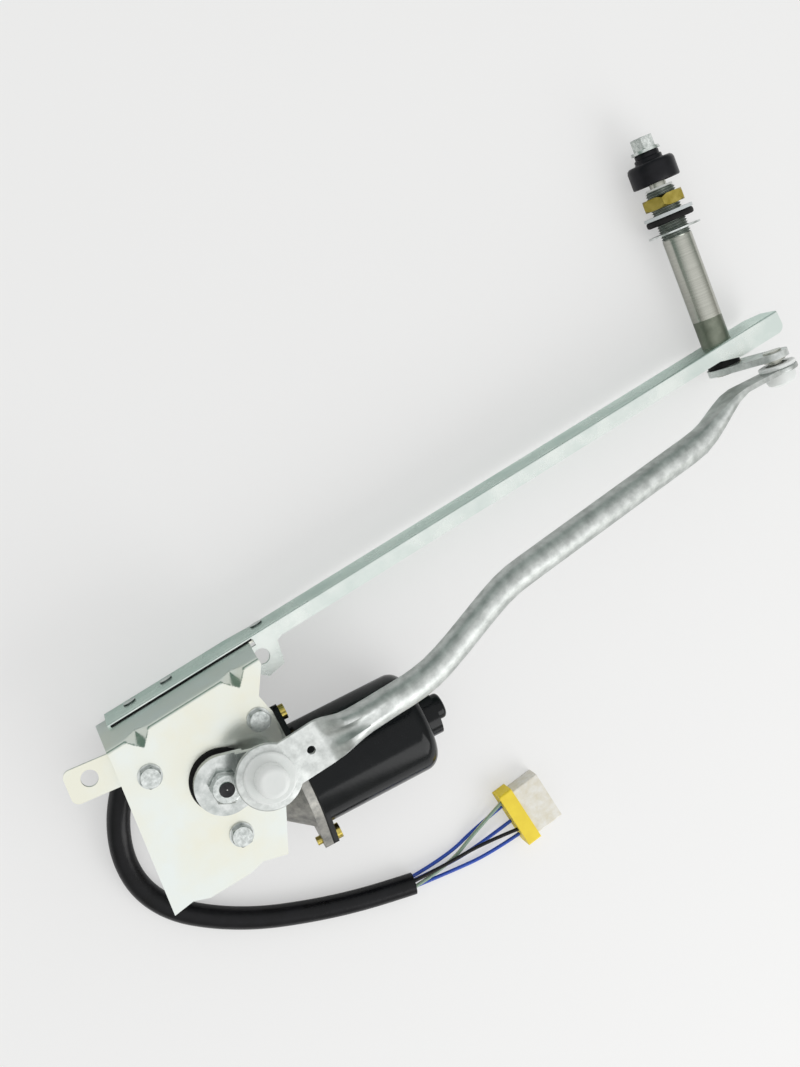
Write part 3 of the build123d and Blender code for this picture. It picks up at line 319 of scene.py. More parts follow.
olive_steel = finish(
    "olive_steel", (0.17, 0.19, 0.15), (0.24, 0.26, 0.21), 160, 0.26, 0.15, 1200, 0.15, 1.0
)
yellow_brass = finish(
    "yellow_brass", (0.80, 0.62, 0.22), (0.70, 0.55, 0.25), 200, 0.22, 0.12, 1500, 0.10, 1.0
)
white_nylon = finish("white_nylon", (0.80, 0.82, 0.80), (0.74, 0.77, 0.75), 90, 0.38, 0.12, 1200, 0.08)
grey_nylon = finish("grey_nylon", (0.62, 0.66, 0.66), (0.54, 0.58, 0.58), 90, 0.38, 0.12, 1200, 0.08)
natural_nylon = finish("natural_nylon", (0.80, 0.79, 0.74), (0.70, 0.66, 0.54), 170, 0.40, 0.12, 1200, 0.08)
yellow_plastic = finish(
    "yellow_plastic", (0.88, 0.68, 0.03), (0.82, 0.62, 0.025), 110, 0.38, 0.12, 1300, 0.08
)
black_plastic = finish(
    "black_plastic", (0.004, 0.004, 0.006), (0.008, 0.008, 0.011), 160, 0.24, 0.14, 1300, 0.12, 0.0, 0.22
)
black_sleeve = finish(
    "black_sleeve", (0.003, 0.003, 0.004), (0.006, 0.006, 0.008), 130, 0.22, 0.16, 150, 0.80, 0.0, 0.24
)
blue_wire = finish("blue_wire", (0.012, 0.060, 0.40), (0.020, 0.085, 0.50), 200, 0.30, 0.12, 900, 0.10)
black_wire = finish(
    "black_wire", (0.006, 0.006, 0.007), (0.010, 0.010, 0.011), 200, 0.30, 0.12, 900, 0.10, 0.0, 0.25
)
copper = finish("copper", (0.62, 0.30, 0.16), (0.48, 0.22, 0.12), 300, 0.30, 0.12, 1500, 0.30, 1.0)
ferrite = finish("ferrite", (0.10, 0.10, 0.105), (0.14, 0.14, 0.14), 200, 0.60, 0.12, 1500, 0.30)
pivot_steel = turned("pivot_steel", (0.58, 0.58, 0.53), (0.38, 0.38, 0.34), 0.22, PIVOT, 900, 0.16)
shaft_steel = turned("shaft_steel", (0.74, 0.74, 0.72), (0.60, 0.60, 0.58), 0.20, SHAFT, 900, 0.15)
armature_steel = turned("armature_steel", (0.66, 0.66, 0.65), (0.52, 0.52, 0.50), 0.30, MOTOR, 900, 0.15)

# painted shade: each copy below is darkened by its shade colour on the faces that turn away from the axis
# given, so flats, chamfers, rims, folds, flanges and the link's tube look shaded, while faces whose normal
# lies along that axis keep the full colour
bolt_zinc_shaded = with_painted_shade(zinc_hardware, "bolt_zinc_shaded", (0.48, 0.50, 0.49), (0, 0, 1))
crank_zinc_shaded = with_painted_shade(crank_zinc, "crank_zinc_shaded", (0.52, 0.54, 0.53), (0, 0, 1), 0.5, 0.9)
plate_zinc_shaded = with_painted_shade(plate_zinc, "plate_zinc_shaded", (0.61, 0.70, 0.68), (0, 0, 1), 0.1, 0.95)
arm_nut_zinc_shaded = with_painted_shade(zinc_hardware, "arm_nut_zinc_shaded", (0.95, 0.95, 0.94), pivot_out)
lock_nut_zinc_shaded = with_painted_shade(yellow_zinc, "lock_nut_zinc_shaded", (0.72, 0.72, 0.62), pivot_out)
rivet_zinc_shaded = with_painted_shade(zinc_hardware, "rivet_zinc_shaded", (0.15, 0.16, 0.16), (0, 1, 0))
bar_zinc_shaded = with_painted_shade(bar_zinc, "bar_zinc_shaded", (0.70, 0.83, 0.78), (0, 0, 1), 0.1, 0.9)
link_zinc_shaded = with_painted_shade(galvanised, "link_zinc_shaded", (0.74, 0.75, 0.74), (0, 0, 1), 0.92, 0.999)

node_finish = {
    "bracket_plate": plate_zinc_shaded,
    "support_bar": bar_zinc_shaded,
    "web_rivets": rivet_zinc_shaded,
    "motor_bolts": bolt_zinc_shaded,
    "bolt_washers": crank_zinc_shaded,
    "gear_housing": cast_aluminium,
    "gear_cover": zinc_hardware,
    "cover_screws": zinc_hardware,
    "collar_seal": black_rubber,
    "lead_grommet": black_rubber,
    "flange_gasket": black_rubber,
    "motor_can": black_paint,
    "can_screws": yellow_zinc,
    "field_magnets": ferrite,
    "brush_plate": white_nylon,
    "brushes": copper,
    "worm_bearing": armature_steel,
    "end_bearing": armature_steel,
    "thrust_screw": armature_steel,
    "armature_axle": armature_steel,
    "armature_core": ferrite,
    "armature_windings": copper,
    "commutator": copper,
    "worm_wheel": white_nylon,
    "output_bush": yellow_brass,
    "output_shaft": shaft_steel,
    "shaft_spacer": shaft_steel,
    "crank_arm": crank_zinc_shaded,
    "crank_ball_stud": shaft_steel,
    "spring_washer": zinc_hardware,
    "crank_nut": bolt_zinc_shaded,
    "link_rod": link_zinc_shaded,
    "crank_socket": white_nylon,
    "lever_socket": white_nylon,
    "lever_arm": galvanised,
    "lever_ball_stud": pivot_steel,
    "pivot_shaft": pivot_steel,
    "pivot_seal": black_rubber,
    "pivot_tube": pivot_steel,
    "inner_bush": pivot_steel,
    "outer_bush": pivot_steel,
    "brass_ring": yellow_brass,
    "steel_washer": zinc_hardware,
    "rubber_washer": black_rubber,
    "panel_washer": grey_nylon,
    "lock_nut": lock_nut_zinc_shaded,
    "shaft_circlip": white_nylon,
    "shaft_cap": black_plastic,
    "arm_nut": arm_nut_zinc_shaded,
    "harness_sleeve": black_sleeve,
    "wire_blue_1": blue_wire,
    "wire_blue_2": blue_wire,
    "wire_blue_3": blue_wire,
    "wire_striped": blue_wire,
    "wire_black": black_wire,
    "plug_retainer": yellow_plastic,
    "plug_housing": natural_nylon,
    "plug_terminals": shaft_steel,
}
for name, material in node_finish.items():
    cad = nodes[name]
    cad.data.materials.clear()
    cad.data.materials.append(material)


# ---------------------------------------------------------------- harness
def pale_wire_finish():
    """Pale green insulation with a yellow stripe along the wire."""
    material = bpy.data.materials.new("striped_wire")
    material.use_nodes = True
    tree = material.node_tree
    shader = tree.nodes["Principled BSDF"]
    place = tree.nodes.new("ShaderNodeUVMap")
    split = tree.nodes.new("ShaderNodeSeparateXYZ")
    stripe = tree.nodes.new("ShaderNodeMath")
    stripe.operation = "GREATER_THAN"
    stripe.inputs[1].default_value = 0.55
    blend = tree.nodes.new("ShaderNodeMix")
    blend.data_type = "RGBA"
    blend.inputs[6].default_value = (0.24, 0.34, 0.26, 1)
    blend.inputs[7].default_value = (0.52, 0.54, 0.30, 1)
    tree.links.new(place.outputs["UV"], split.inputs["Vector"])
    tree.links.new(split.outputs["Y"], stripe.inputs[0])
    tree.links.new(stripe.outputs[0], blend.inputs["Factor"])
    tree.links.new(blend.outputs[2], shader.inputs["Base Color"])
    shader.inputs["Roughness"].default_value = 0.36
    return material


def smooth_cord(name, route, radius, material):
    """A round cord on one smooth spline, with the route in millimetres as its control points."""
    curve = bpy.data.curves.new(name, "CURVE")
    curve.dimensions = "3D"
    curve.bevel_depth = radius
    curve.bevel_resolution = 6
    curve.resolution_u = 12
    curve.use_fill_caps = True
    spline = curve.splines.new("NURBS")
    spline.points.add(len(route) - 1)
    for point, (x, y, z) in zip(spline.points, route):
        point.co = (x * MM, y * MM, z * MM, 1)
    spline.order_u = 3
    spline.use_endpoint_u = True
    curve.materials.append(material)
    cord = bpy.data.objects.new(name, curve)
    bpy.context.scene.collection.objects.link(cord)
    return cord


sleeve_route = [
    (-199.6, -16.1, 20.0),
    (-212.4, -25.7, 20.0),
    (-228.5, -41.0, 13.5),
    (-240.5, -58.0, 7.6),
    (-248.0, -77.0, 6.5),
    (-248.5, -97.5, 6.5),
    (-240.0, -117.5, 6.5),
    (-223.0, -135.0, 6.5),
    (-202.0, -150.5, 6.5),
    (-178.0, -163.0, 6.5),
    (-157.0, -172.3, 6.5),
    (-136.0, -180.0, 6.5),
    (-116.5, -186.0, 6.5),
]
wire_routes = {
    "blue_wire_1": [(-117.4, -189.0, 4.0), (-91.0, -196.0, 1.6), (-67.5, -200.0, 1.8), (-46.0, -198.9, 4.6)],
    "blue_wire_2": [(-116.5, -186.0, 2.4), (-91.5, -191.0, 1.4), (-69.0, -191.5, 1.6), (-46.5, -188.9, 4.6)],
    "blue_wire_3": [(-115.6, -183.0, 4.0), (-90.5, -186.0, 1.5), (-67.5, -181.0, 1.8), (-47.1, -177.9, 4.6)],
    "pale_wire": [(-117.0, -187.6, 8.0), (-93.0, -190.0, 4.6), (-71.0, -182.5, 4.4), (-47.3, -173.9, 9.2)],
    "dark_wire": [(-116.0, -184.3, 8.0), (-93.5, -187.6, 7.4), (-69.5, -189.5, 7.0), (-46.2, -193.9, 9.2)],
}
wire_nodes = {
    "blue_wire_1": ("wire_blue_1", blue_wire, "blue_pvc"),
    "blue_wire_2": ("wire_blue_2", blue_wire, "blue_pvc"),
    "blue_wire_3": ("wire_blue_3", blue_wire, "blue_pvc"),
    "pale_wire": ("wire_striped", pale_wire_finish(), "striped_pvc"),
    "dark_wire": ("wire_black", black_wire, "black_pvc"),
}
sleeve = smooth_cord("lead_sleeve", sleeve_route, SLEEVE_R * MM, black_sleeve)
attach(sleeve, "base")
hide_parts("harness_sleeve")
for name, route in wire_routes.items():
    cad_name, material, slot = wire_nodes[name]
    wire = smooth_cord(name, route, WIRE_R * MM, material)
    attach(wire, "base")
    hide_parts(cad_name)


# ---------------------------------------------------------------- modelling helpers
def start_piece():
    """Nothing is selected, so that the next primitive is the only piece worked on."""
    if bpy.context.object and bpy.context.object.mode != "OBJECT":
        bpy.ops.object.mode_set(mode="OBJECT")
    bpy.ops.object.select_all(action="DESELECT")


def work_on(piece):
    """Selects one piece by itself and makes it the active one."""
    start_piece()
    piece.select_set(True)
    bpy.context.view_layer.objects.active = piece


def named_piece(name, *materials):
    """Names the piece just made and gives it its finishes."""
    piece = bpy.context.object
    piece.name = name
    for material in materials:
        piece.data.materials.append(material)
    return piece


def settle(piece, placement=None, smooth=35):
    """Moves a finished piece to its place in the drive and leaves its object at the origin."""
    work_on(piece)
    if placement is not None:
        piece.matrix_world = placement @ piece.matrix_world
    bpy.ops.object.transform_apply(location=True, rotation=True, scale=True)
    bpy.ops.object.shade_smooth_by_angle(angle=radians(smooth))
    return piece


def join_pieces(pieces):
    """Joins several pieces into the first of them."""
    start_piece()
    for piece in pieces:
        piece.select_set(True)
    bpy.context.view_layer.objects.active = pieces[0]
    bpy.ops.object.join()
    return pieces[0]


def use_modifier(piece, kind, **settings):
    """Adds one modifier to a piece with its settings and applies it."""
    work_on(piece)
    bpy.ops.object.modifier_add(type=kind)
    modifier = piece.modifiers[-1]
    for setting, value in settings.items():
        setattr(modifier, setting, value)
    bpy.ops.object.modifier_apply(modifier=modifier.name)


def disc(radius, z, vertices=64):
    """A flat round edge loop that stands on the Z axis, ready to be extruded."""
    start_piece()
    bpy.ops.mesh.primitive_circle_add(
        vertices=vertices, radius=radius * MM, location=(0, 0, z * MM), fill_type="NOTHING"
    )


def turned_piece(name, profile, *materials, vertices=64):
    """A turned body: a ring carried along a profile of (radius, height) in millimetres, closed."""
    radius, z = profile[0]
    disc(radius, z, vertices)
    bpy.ops.object.mode_set(mode="EDIT")
    bpy.ops.mesh.select_all(action="SELECT")
    for next_radius, next_z in profile[1:] + profile[:1]:
        bpy.ops.mesh.extrude_region_move(
            TRANSFORM_OT_translate={"value": (0, 0, (next_z - z) * MM)}
        )
        share = next_radius / radius
        bpy.ops.transform.resize(value=(share, share, 1), center_override=(0, 0, next_z * MM))
        radius, z = next_radius, next_z
    bpy.ops.mesh.select_all(action="SELECT")
    bpy.ops.mesh.remove_doubles(threshold=0.000005)
    bpy.ops.mesh.normals_make_consistent(inside=False)
    bpy.ops.object.mode_set(mode="OBJECT")
    return named_piece(name, *materials)


def threaded_piece(name, crest_r, core_r, low, high, pitch, material):
    """An outside thread: one turn's profile up a helix, trimmed flat at both ends and bored."""
    start_piece()
    bpy.ops.mesh.primitive_plane_add(size=1)
    bpy.ops.object.mode_set(mode="EDIT")
    bpy.ops.mesh.delete(type="VERT")
    bpy.ops.object.mode_set(mode="OBJECT")
    piece = named_piece(name, material)
    flank = [(core_r, 0.0), (core_r, 0.12), (crest_r, 0.45), (crest_r, 0.60), (core_r, 0.93), (core_r, 1.0)]
    points = [(r * MM, 0, (low + (share - 1) * pitch) * MM) for r, share in flank]
    piece.data.from_pydata(points, [(i, i + 1) for i in range(len(points) - 1)], [])
    use_modifier(
        piece,
        "SCREW",
        axis="Z",
        steps=48,
        render_steps=48,
        iterations=int((high - low) / pitch) + 2,
        screw_offset=pitch * MM,
        use_merge_vertices=True,
        merge_threshold=0.000002,
    )
    work_on(piece)
    bpy.ops.object.mode_set(mode="EDIT")
    bpy.ops.mesh.select_all(action="SELECT")
    bpy.ops.mesh.remove_doubles(threshold=0.00001)
    for level, upper in ((low, False), (high, True)):
        bpy.ops.mesh.select_all(action="SELECT")
        bpy.ops.mesh.bisect(
            plane_co=(0, 0, level * MM),
            plane_no=(0, 0, 1),
            clear_outer=upper,
            clear_inner=not upper,
            use_fill=True,
        )
    bpy.ops.mesh.select_all(action="SELECT")
    bpy.ops.mesh.normals_make_consistent(inside=False)
    bpy.ops.object.mode_set(mode="OBJECT")
    start_piece()
    bpy.ops.mesh.primitive_cylinder_add(
        vertices=64,
        radius=(core_r - 0.6) * MM,
        depth=(high - low + 2) * MM,
        location=(0, 0, (high + low) / 2 * MM),
    )
    bore = named_piece("thread_bore")
    use_modifier(piece, "BOOLEAN", operation="DIFFERENCE", object=bore, solver="EXACT")
    bpy.data.objects.remove(bore)
    return piece


# ---------------------------------------------------------------- pivot tube
tube_foot, tube_end = -11.0, 98.5
root = turned_piece(
    "pivot_root",
    [(BORE_R, tube_foot), (8.5, tube_foot), (9.0, tube_foot + 0.6), (9.0, 16.0), (BORE_R, 16.0)],
    olive_steel,
)
barrel = turned_piece(
    "pivot_barrel",
    [(BORE_R, 16.0), (9.0, 16.0), (9.06, 16.3), (9.06, 68.2), (8.7, 68.8), (BORE_R, 68.8)],
    pivot_steel,
)
thread = threaded_piece("pivot_thread", 9.0, 8.1, 68.8, tube_end - 0.6, 1.5, dark_thread)
lip = turned_piece(
    "pivot_lip",
    [(BORE_R, 68.8), (8.2, 68.8), (8.2, tube_end - 0.5), (7.8, tube_end), (BORE_R, tube_end)],
    dark_thread,
)
for piece in (root, barrel, thread, lip):
    settle(piece, PIVOT)
    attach(piece, "base")
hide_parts("pivot_tube")


# ---------------------------------------------------------------- link rod
def link_place(x, y, z):
    """A point of the link, in millimetres from the output shaft and above the ground."""
    return Vector((shaft_at.x / MM + x, shaft_at.y / MM + y, z)) * MM


eye_low, eye_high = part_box("crank_socket")
eye_x = (eye_low[0] + eye_high[0]) / 2
eye_y = (eye_low[1] + eye_high[1]) / 2
flat_level = 104.3
slope = 0.1835  # how fast the round length falls towards the lever
# each station: x, y and z of the section's centre, half width, half height, and squareness from
# 0 (round) to 1 (square); the crushed mouth of the tube also has a valley between its two lips,
# given for its x as a share of the height
valley_at = {54.5: 0.25, 57.5: 0.75, 61.0: 0.85, 65.0: 0.70, 70.0: 0.40, 76.0: 0.15}
stations = [
    (24.0, -3.0, flat_level + 1.5, 12.0, 1.42, 1.0),
    (38.0, -3.0, flat_level + 1.5, 12.0, 1.42, 1.0),
    (52.0, -3.0, flat_level + 1.5, 12.0, 1.5, 1.0),
    (54.5, -3.0, flat_level + 1.8, 12.0, 1.9, 0.9),
    (57.5, -3.0, flat_level + 3.0, 11.6, 3.2, 0.7),
    (61.0, -3.0, flat_level + 4.6, 10.6, 5.2, 0.45),
    (65.0, -3.0, flat_level + 5.6, 9.4, 7.0, 0.25),
    (70.0, -3.2, flat_level + 4.9, 8.6, 7.8, 0.1),
    (76.0, -3.6, flat_level + 3.4, 8.2, 8.0, 0.0),
]
round_run = [
    (90, -4.6),
    (102, -5.5),
    (110, -5.7),
    (118, -5.2),
    (127, -3.6),
    (138, -0.9),
    (152, 3.0),
    (164, 6.3),
    (174, 8.6),
    (183, 9.8),
    (193, 10.1),
    (206, 10.2),
    (240, 10.5),
    (280, 10.8),
    (316, 11.1),
]
for x, y in round_run:
    stations.append((x, y, flat_level + LINK_R - slope * (x - 50.0), LINK_R, LINK_R, 0.0))
stations += [
    (326.0, 11.6, 61.6, 7.8, 8.1, 0.05),
    (334.0, 13.4, 60.2, 6.9, 8.8, 0.2),
    (342.0, 16.2, 58.7, 5.4, 9.5, 0.4),
    (350.0, 19.3, 57.3, 3.8, 10.1, 0.6),
    (358.0, 22.0, 55.9, 2.4, 10.4, 0.8),
    (366.0, 23.0, 54.4, 1.5, 10.3, 1.0),
    (378.0, 21.7, 52.2, 1.42, 9.9, 1.0),
    (388.0, 20.5, 50.3, 1.42, 9.6, 1.0),
    (396.0, 19.6, 48.8, 1.42, 9.2, 1.0),
]


def press_ring(corners, centre, half_width, half_height, squareness, valley):
    """Puts the last ring of a tube where the press leaves it, from round to square-edged."""
    for index, corner in enumerate(corners):
        turn = 2 * pi * index / len(corners)
        reach = 1.0 / max(abs(cos(turn)), abs(sin(turn))) - 1.0
        swell = 1.0 + squareness * reach
        across = min(1.0, max(-1.0, cos(turn) * swell)) * half_width
        up = min(1.0, max(-1.0, sin(turn) * swell)) * half_height
        if up > 0:
            up *= 1.0 - valley * max(0.0, 1.0 - (across / (0.42 * half_width)) ** 2)
        corner.co = centre + Vector((0, across, up)) * MM


def pressed_tube(name, places, material, sides=48):
    """A tube carried from station to station, with its section pressed flat at both ends."""
    start_piece()
    bpy.ops.mesh.primitive_circle_add(vertices=sides, radius=0.008, fill_type="NOTHING")
    piece = named_piece(name, material)
    bpy.ops.object.mode_set(mode="EDIT")
    bpy.ops.mesh.select_all(action="SELECT")
    for number, (x, y, z, half_width, half_height, squareness) in enumerate(places):
        if number:
            bpy.ops.mesh.extrude_region_move(TRANSFORM_OT_translate={"value": (0.001, 0, 0)})
        form = bmesh.from_edit_mesh(piece.data)
        form.verts.ensure_lookup_table()
        corners = form.verts[-sides:] if number else form.verts[:]
        valley = valley_at.get(x, 0.0)
        press_ring(corners, link_place(x, y, z), half_width, half_height, squareness, valley)
        bmesh.update_edit_mesh(piece.data)
    bpy.ops.mesh.select_all(action="DESELECT")
    bpy.ops.mesh.select_non_manifold()
    bpy.ops.mesh.edge_face_add()
    bpy.ops.mesh.select_all(action="SELECT")
    bpy.ops.mesh.normals_make_consistent(inside=False)
    bpy.ops.object.mode_set(mode="OBJECT")
    return piece


link_bar = pressed_tube("link_bar", stations, link_zinc_shaded)
start_piece()
bpy.ops.mesh.primitive_cylinder_add(
    vertices=72, radius=0.017, depth=EYE_DEPTH, location=(eye_x, eye_y, (flat_level + 1.5) * MM)
)
near_eye = named_piece("near_eye", link_zinc_shaded)
use_modifier(near_eye, "BEVEL", width=0.0006, segments=3, limit_method="ANGLE")
settle(link_bar)
settle(near_eye)
# the far eye lies square to the pivot
lever_at = joint_at["link_swivel"]
far_mid = lever_at + pivot_out * 0.0010
start_piece()
bpy.ops.mesh.primitive_cylinder_add(vertices=56, radius=0.0115, depth=EYE_DEPTH)
far_eye = named_piece("far_eye", link_zinc_shaded)
use_modifier(far_eye, "BEVEL", width=0.0006, segments=3, limit_method="ANGLE")
settle(far_eye, axis_frame(far_mid, pivot_out))
link_rod = join_pieces([link_bar, near_eye, far_eye])
start_piece()
bpy.ops.mesh.primitive_cylinder_add(
    vertices=32, radius=0.0022, depth=0.01, location=link_place(45.0, -3.0, flat_level + 1.5)
)
drill = named_piece("drill")
use_modifier(link_rod, "BOOLEAN", operation="DIFFERENCE", object=drill, solver="EXACT", use_self=True)
bpy.data.objects.remove(drill)
settle(link_rod, smooth=40)
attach(link_rod, "link")
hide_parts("link_rod")


# ---------------------------------------------------------------- small details
thread_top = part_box("output_shaft")[1][2] / MM
thread_end = turned_piece(
    "crank_thread_end",
    [
        (0.3, thread_top - 0.2),
        (3.9, thread_top - 0.2),
        (3.6, thread_top + 0.15),
        (1.4, thread_top + 0.15),
        (0.3, thread_top + 0.05),
    ],
    black_oxide,
    vertices=48,
)
settle(thread_end, SHAFT)
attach(thread_end, "crank")

# the crank's nut: a hexagon with its corners turned off at both ends
nut_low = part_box("crank_nut")[0][2] / MM
nut_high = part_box("crank_nut")[1][2] / MM
nut_af = 14.6  # across its flats


def hexagon_piece(name, across, low, high, bore_r, material):
    """A hexagon nut: six sides, with both ends cut back by a cone and a bore through it."""
    corner_r = across / 2 / cos(pi / 6)
    disc(corner_r, low, 6)
    bpy.ops.object.mode_set(mode="EDIT")
    bpy.ops.mesh.edge_face_add()
    bpy.ops.mesh.extrude_region_move(TRANSFORM_OT_translate={"value": (0, 0, (high - low) * MM)})
    bpy.ops.mesh.select_all(action="SELECT")
    bpy.ops.mesh.normals_make_consistent(inside=False)
    bpy.ops.object.mode_set(mode="OBJECT")
    nut = named_piece(name, material)
    cone = turned_piece(
        "nut_cone",
        [
            (bore_r, low),
            (across / 2 - 0.3, low),
            (corner_r + 0.2, low + 0.9),
            (corner_r + 0.2, high - 0.9),
            (across / 2 - 0.3, high),
            (bore_r, high),
        ],
    )
    use_modifier(nut, "BOOLEAN", operation="INTERSECT", object=cone, solver="EXACT")
    bpy.data.objects.remove(cone)
    return nut


crank_nut = hexagon_piece("crank_hexagon_nut", nut_af, nut_low, nut_high, 4.05, bolt_zinc_shaded)
settle(crank_nut, SHAFT, smooth=20)
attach(crank_nut, "crank")
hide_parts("crank_nut")

# a dark strip on the top edge of the bar's web, painted shade for the gap between the web and the bracket's
# flange
web_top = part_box("support_bar")[1][2]
bar_low_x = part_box("support_bar")[0][0]
start_piece()
bpy.ops.mesh.primitive_cube_add(size=1)
gap_shade_strip = named_piece("web_gap_shade", black_rubber)
gap_shade_strip.scale = (0.088, 0.0011, 0.0006)
gap_shade_strip.location = (bar_low_x + 0.0455, pivot_at.y - 0.0023 + 0.0003, web_top + 0.0001)
bpy.ops.object.transform_apply(location=True, rotation=True, scale=True)
use_modifier(gap_shade_strip, "BEVEL", width=0.0002, segments=2)
settle(gap_shade_strip)
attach(gap_shade_strip, "base")

# the lever's ball socket: a collar on the eye and a rounded back over the ball
lever_socket = turned_piece(
    "lever_ball_socket",
    [
        (6.4, 5.0),
        (10.6, 5.0),
        (11.0, 4.6),
        (11.0, 2.9),
        (10.6, 2.5),
        (9.0, 2.5),
        (9.0, -4.2),
        (8.2, -6.4),
        (6.2, -7.7),
        (3.0, -8.1),
        (0.4, -8.2),
        (0.4, -6.9),
        (5.0, -5.6),
        (6.6, -2.0),
        (6.6, 2.0),
    ],
    white_nylon,
)
settle(lever_socket, axis_frame(lever_at, pivot_out))
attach(lever_socket, "link")
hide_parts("lever_socket")

# the cap over the arm's thread: a skirt with a rounded shoulder and a stepped neck
cap = turned_piece(
    "rounded_cap",
    [
        (12.5, 102.5),
        (13.9, 102.5),
        (14.5, 103.2),
        (14.5, 113.0),
        (14.0, 114.6),
        (12.8, 115.6),
        (11.4, 115.7),
        (9.6, 115.4),
        (8.8, 115.7),
        (8.4, 116.4),
        (8.4, 118.0),
        (7.9, 118.6),
        (7.4, 118.7),
        (7.4, 121.0),
        (7.0, 121.4),
        (5.1, 121.4),
        (5.1, 113.9),
        (12.2, 113.7),
        (12.5, 113.2),
    ],
    black_plastic,
)
settle(cap, PIVOT, smooth=50)
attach(cap, "pivot")
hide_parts("shaft_cap")

# the rubber washer, with rounded rims
seal = turned_piece(
    "rounded_rubber_washer",
    [
        (9.1, 78.4),
        (13.4, 78.4),
        (14.2, 78.8),
        (14.5, 79.6),
        (14.5, 81.0),
        (14.2, 81.8),
        (13.4, 82.2),
        (9.1, 82.2),
    ],
    black_rubber,
)
settle(seal, PIVOT, smooth=50)
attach(seal, "base")
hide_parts("rubber_washer")


# ---------------------------------------------------------------- bracket
def pressed_gussets(piece, corner, along, inward, middles, reach):
    """Presses V-shaped gussets into a fold: the sheet is cut fine there and its corner pushed in.

    The fold runs along one direction through a corner point, with the plate going inward from it
    and the flange going down. Thickness stays as it is, because both faces move alike.
    """
    half_width = 8  # of one gusset, along the fold
    depth_limit = 13  # how far from the fold the sheet is cut and moved
    outside = -0.5  # points further out than this are not part of the fold
    down = Vector((0, 0, -1))
    work_on(piece)
    bpy.ops.object.mode_set(mode="EDIT")
    cuts = []
    for middle in middles:
        for step in range(-half_width, half_width + 1):
            cuts.append((corner + along * (middle + step) * MM, along))
    for step in range(1, depth_limit):
        cuts += [(corner + inward * step * MM, inward), (corner + down * step * MM, down)]
    for place, normal in cuts:
        bpy.ops.mesh.select_all(action="SELECT")
        bpy.ops.mesh.bisect(plane_co=place, plane_no=normal)
    bpy.ops.object.mode_set(mode="OBJECT")
    diagonal = inward + down
    for point in piece.data.vertices:
        out = point.co - corner
        run = out.dot(along) / MM
        in_by, down_by = out.dot(inward) / MM, out.dot(down) / MM
        for middle in middles:
            width = 1.0 - abs(run - middle) / half_width
            wall = 2 * SHEET if min(in_by, down_by) > SHEET - 0.1 else 0.0
            short = reach * width + wall - (in_by + down_by)
            near = max(in_by, down_by) < depth_limit and min(in_by, down_by) > outside
            if width > 0 and short > 0 and near:
                point.co += diagonal * (short / 2) * MM


plate = nodes["bracket_plate"].copy()
plate.data = nodes["bracket_plate"].data.copy()
plate.name = "pressed_bracket"
bpy.context.scene.collection.objects.link(plate)
work_on(plate)
bpy.ops.mesh.customdata_custom_splitnormals_clear()
bpy.ops.object.mode_set(mode="EDIT")
bpy.ops.mesh.select_all(action="SELECT")
bpy.ops.mesh.remove_doubles(threshold=0.00001)
bpy.ops.object.mode_set(mode="OBJECT")
fold_corner = Vector((shaft_at.x, pivot_at.y - SHEET * MM, plate_top))
pressed_gussets(plate, fold_corner, Vector((1, 0, 0)), Vector((0, -1, 0)), (-24.0, 32.0), 9.0)
settle(plate, smooth=28)
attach(plate, "base")
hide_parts("bracket_plate")


# ---------------------------------------------------------------- studio
def soft_lamp(name, at, towards, size, power):
    """A square soft box that faces a point."""
    lamp = bpy.data.lights.new(name, "AREA")
    lamp.shape = "SQUARE"
    lamp.size = size
    lamp.energy = power
    box = bpy.data.objects.new(name, lamp)
    box.location = at
    box.rotation_euler = (Vector(at) - Vector(towards)).to_track_quat("Z", "Y").to_euler()
    bpy.context.scene.collection.objects.link(box)


soft_lamp("key_box", (0.50, -1.40, 1.00), (0, 0, 0), 1.2, 12.5)

bpy.ops.object.select_all(action="DESELECT")
bpy.ops.mesh.primitive_plane_add(size=60.0, location=(0, 0, -0.0002))
floor = bpy.context.object
floor.name = "studio_floor"
paper = bpy.data.materials.new("studio_paper")
paper.use_nodes = True
ground = paper.node_tree
matt = ground.nodes["Principled BSDF"]
matt.inputs["Base Color"].default_value = (0.90, 0.90, 0.893, 1)
matt.inputs["Roughness"].default_value = 0.9
# seen by the camera, the paper is part white by itself, which keeps the shadows soft
glow = ground.nodes.new("ShaderNodeEmission")
glow.inputs["Color"].default_value = (0.88, 0.88, 0.875, 1)
looked_at = ground.nodes.new("ShaderNodeLightPath")
share = ground.nodes.new("ShaderNodeMath")
share.operation = "MULTIPLY"
share.inputs[1].default_value = 0.48
soften = ground.nodes.new("ShaderNodeMixShader")
ground.links.new(looked_at.outputs["Is Camera Ray"], share.inputs[0])
ground.links.new(share.outputs[0], soften.inputs["Fac"])
ground.links.new(matt.outputs[0], soften.inputs[1])
ground.links.new(glow.outputs[0], soften.inputs[2])
ground.links.new(soften.outputs[0], ground.nodes["Material Output"].inputs["Surface"])
floor.data.materials.append(paper)

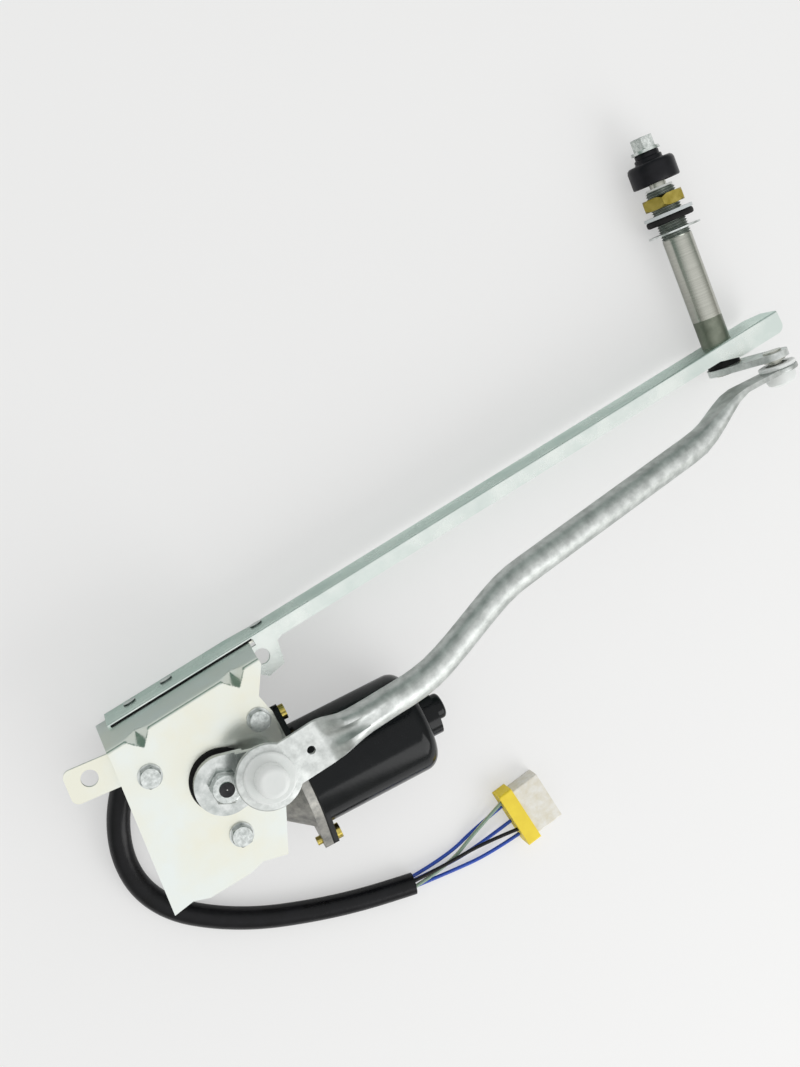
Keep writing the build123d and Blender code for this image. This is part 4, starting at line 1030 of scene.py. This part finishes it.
# one even white for the light, a pale backdrop for the camera, and for mirror rays walls that
# darken to one side under a bright dome
world = bpy.data.worlds.new("studio_world")
world.use_nodes = True
sky = world.node_tree
room = sky.nodes["Background"]
room.inputs["Color"].default_value = (1.0, 1.0, 1.0, 1)
room.inputs["Strength"].default_value = 0.745
mirror = sky.nodes.new("ShaderNodeBackground")
direction = sky.nodes.new("ShaderNodeTexCoord")
parts = sky.nodes.new("ShaderNodeSeparateXYZ")
height = sky.nodes.new("ShaderNodeMapRange")
height.inputs["From Min"].default_value = 0.30
height.inputs["From Max"].default_value = 0.93
side = sky.nodes.new("ShaderNodeMapRange")
side.inputs["From Min"].default_value = -0.3
side.inputs["From Max"].default_value = 0.7
walls = sky.nodes.new("ShaderNodeMix")
walls.data_type = "RGBA"
walls.inputs[6].default_value = (0.50, 0.50, 0.47, 1)
walls.inputs[7].default_value = (0.16, 0.24, 0.21, 1)
dome = sky.nodes.new("ShaderNodeMix")
dome.data_type = "RGBA"
dome.inputs[7].default_value = (0.98, 0.99, 0.98, 1)
rays = sky.nodes.new("ShaderNodeLightPath")
seen = sky.nodes.new("ShaderNodeMath")
seen.operation = "MAXIMUM"
backdrop = sky.nodes.new("ShaderNodeBackground")
backdrop.inputs["Color"].default_value = (0.90, 0.90, 0.89, 1)
reflect = sky.nodes.new("ShaderNodeMixShader")
show = sky.nodes.new("ShaderNodeMixShader")
sky.links.new(direction.outputs["Generated"], parts.inputs["Vector"])
sky.links.new(parts.outputs["Z"], height.inputs["Value"])
sky.links.new(parts.outputs["Y"], side.inputs["Value"])
sky.links.new(side.outputs["Result"], walls.inputs["Factor"])
sky.links.new(height.outputs["Result"], dome.inputs["Factor"])
sky.links.new(walls.outputs[2], dome.inputs[6])
sky.links.new(dome.outputs[2], mirror.inputs["Color"])
sky.links.new(rays.outputs["Is Glossy Ray"], seen.inputs[0])
sky.links.new(rays.outputs["Is Transmission Ray"], seen.inputs[1])
sky.links.new(seen.outputs[0], reflect.inputs["Fac"])
sky.links.new(room.outputs[0], reflect.inputs[1])
sky.links.new(mirror.outputs[0], reflect.inputs[2])
sky.links.new(rays.outputs["Is Camera Ray"], show.inputs["Fac"])
sky.links.new(reflect.outputs[0], show.inputs[1])
sky.links.new(backdrop.outputs[0], show.inputs[2])
sky.links.new(show.outputs[0], sky.nodes["World Output"].inputs["Surface"])
bpy.context.scene.world = world
bpy.context.scene.view_settings.view_transform = "Standard"

lens = bpy.data.cameras.new("studio_camera")
lens.sensor_width = 36.0
lens.lens = 42.85
camera = bpy.data.objects.new("studio_camera", lens)
camera.location = (-0.1661, 0.1341, 0.7190)
camera.rotation_euler = (radians(-3.375), radians(-15.325), radians(-30.153))
bpy.context.scene.collection.objects.link(camera)
bpy.context.scene.camera = camera
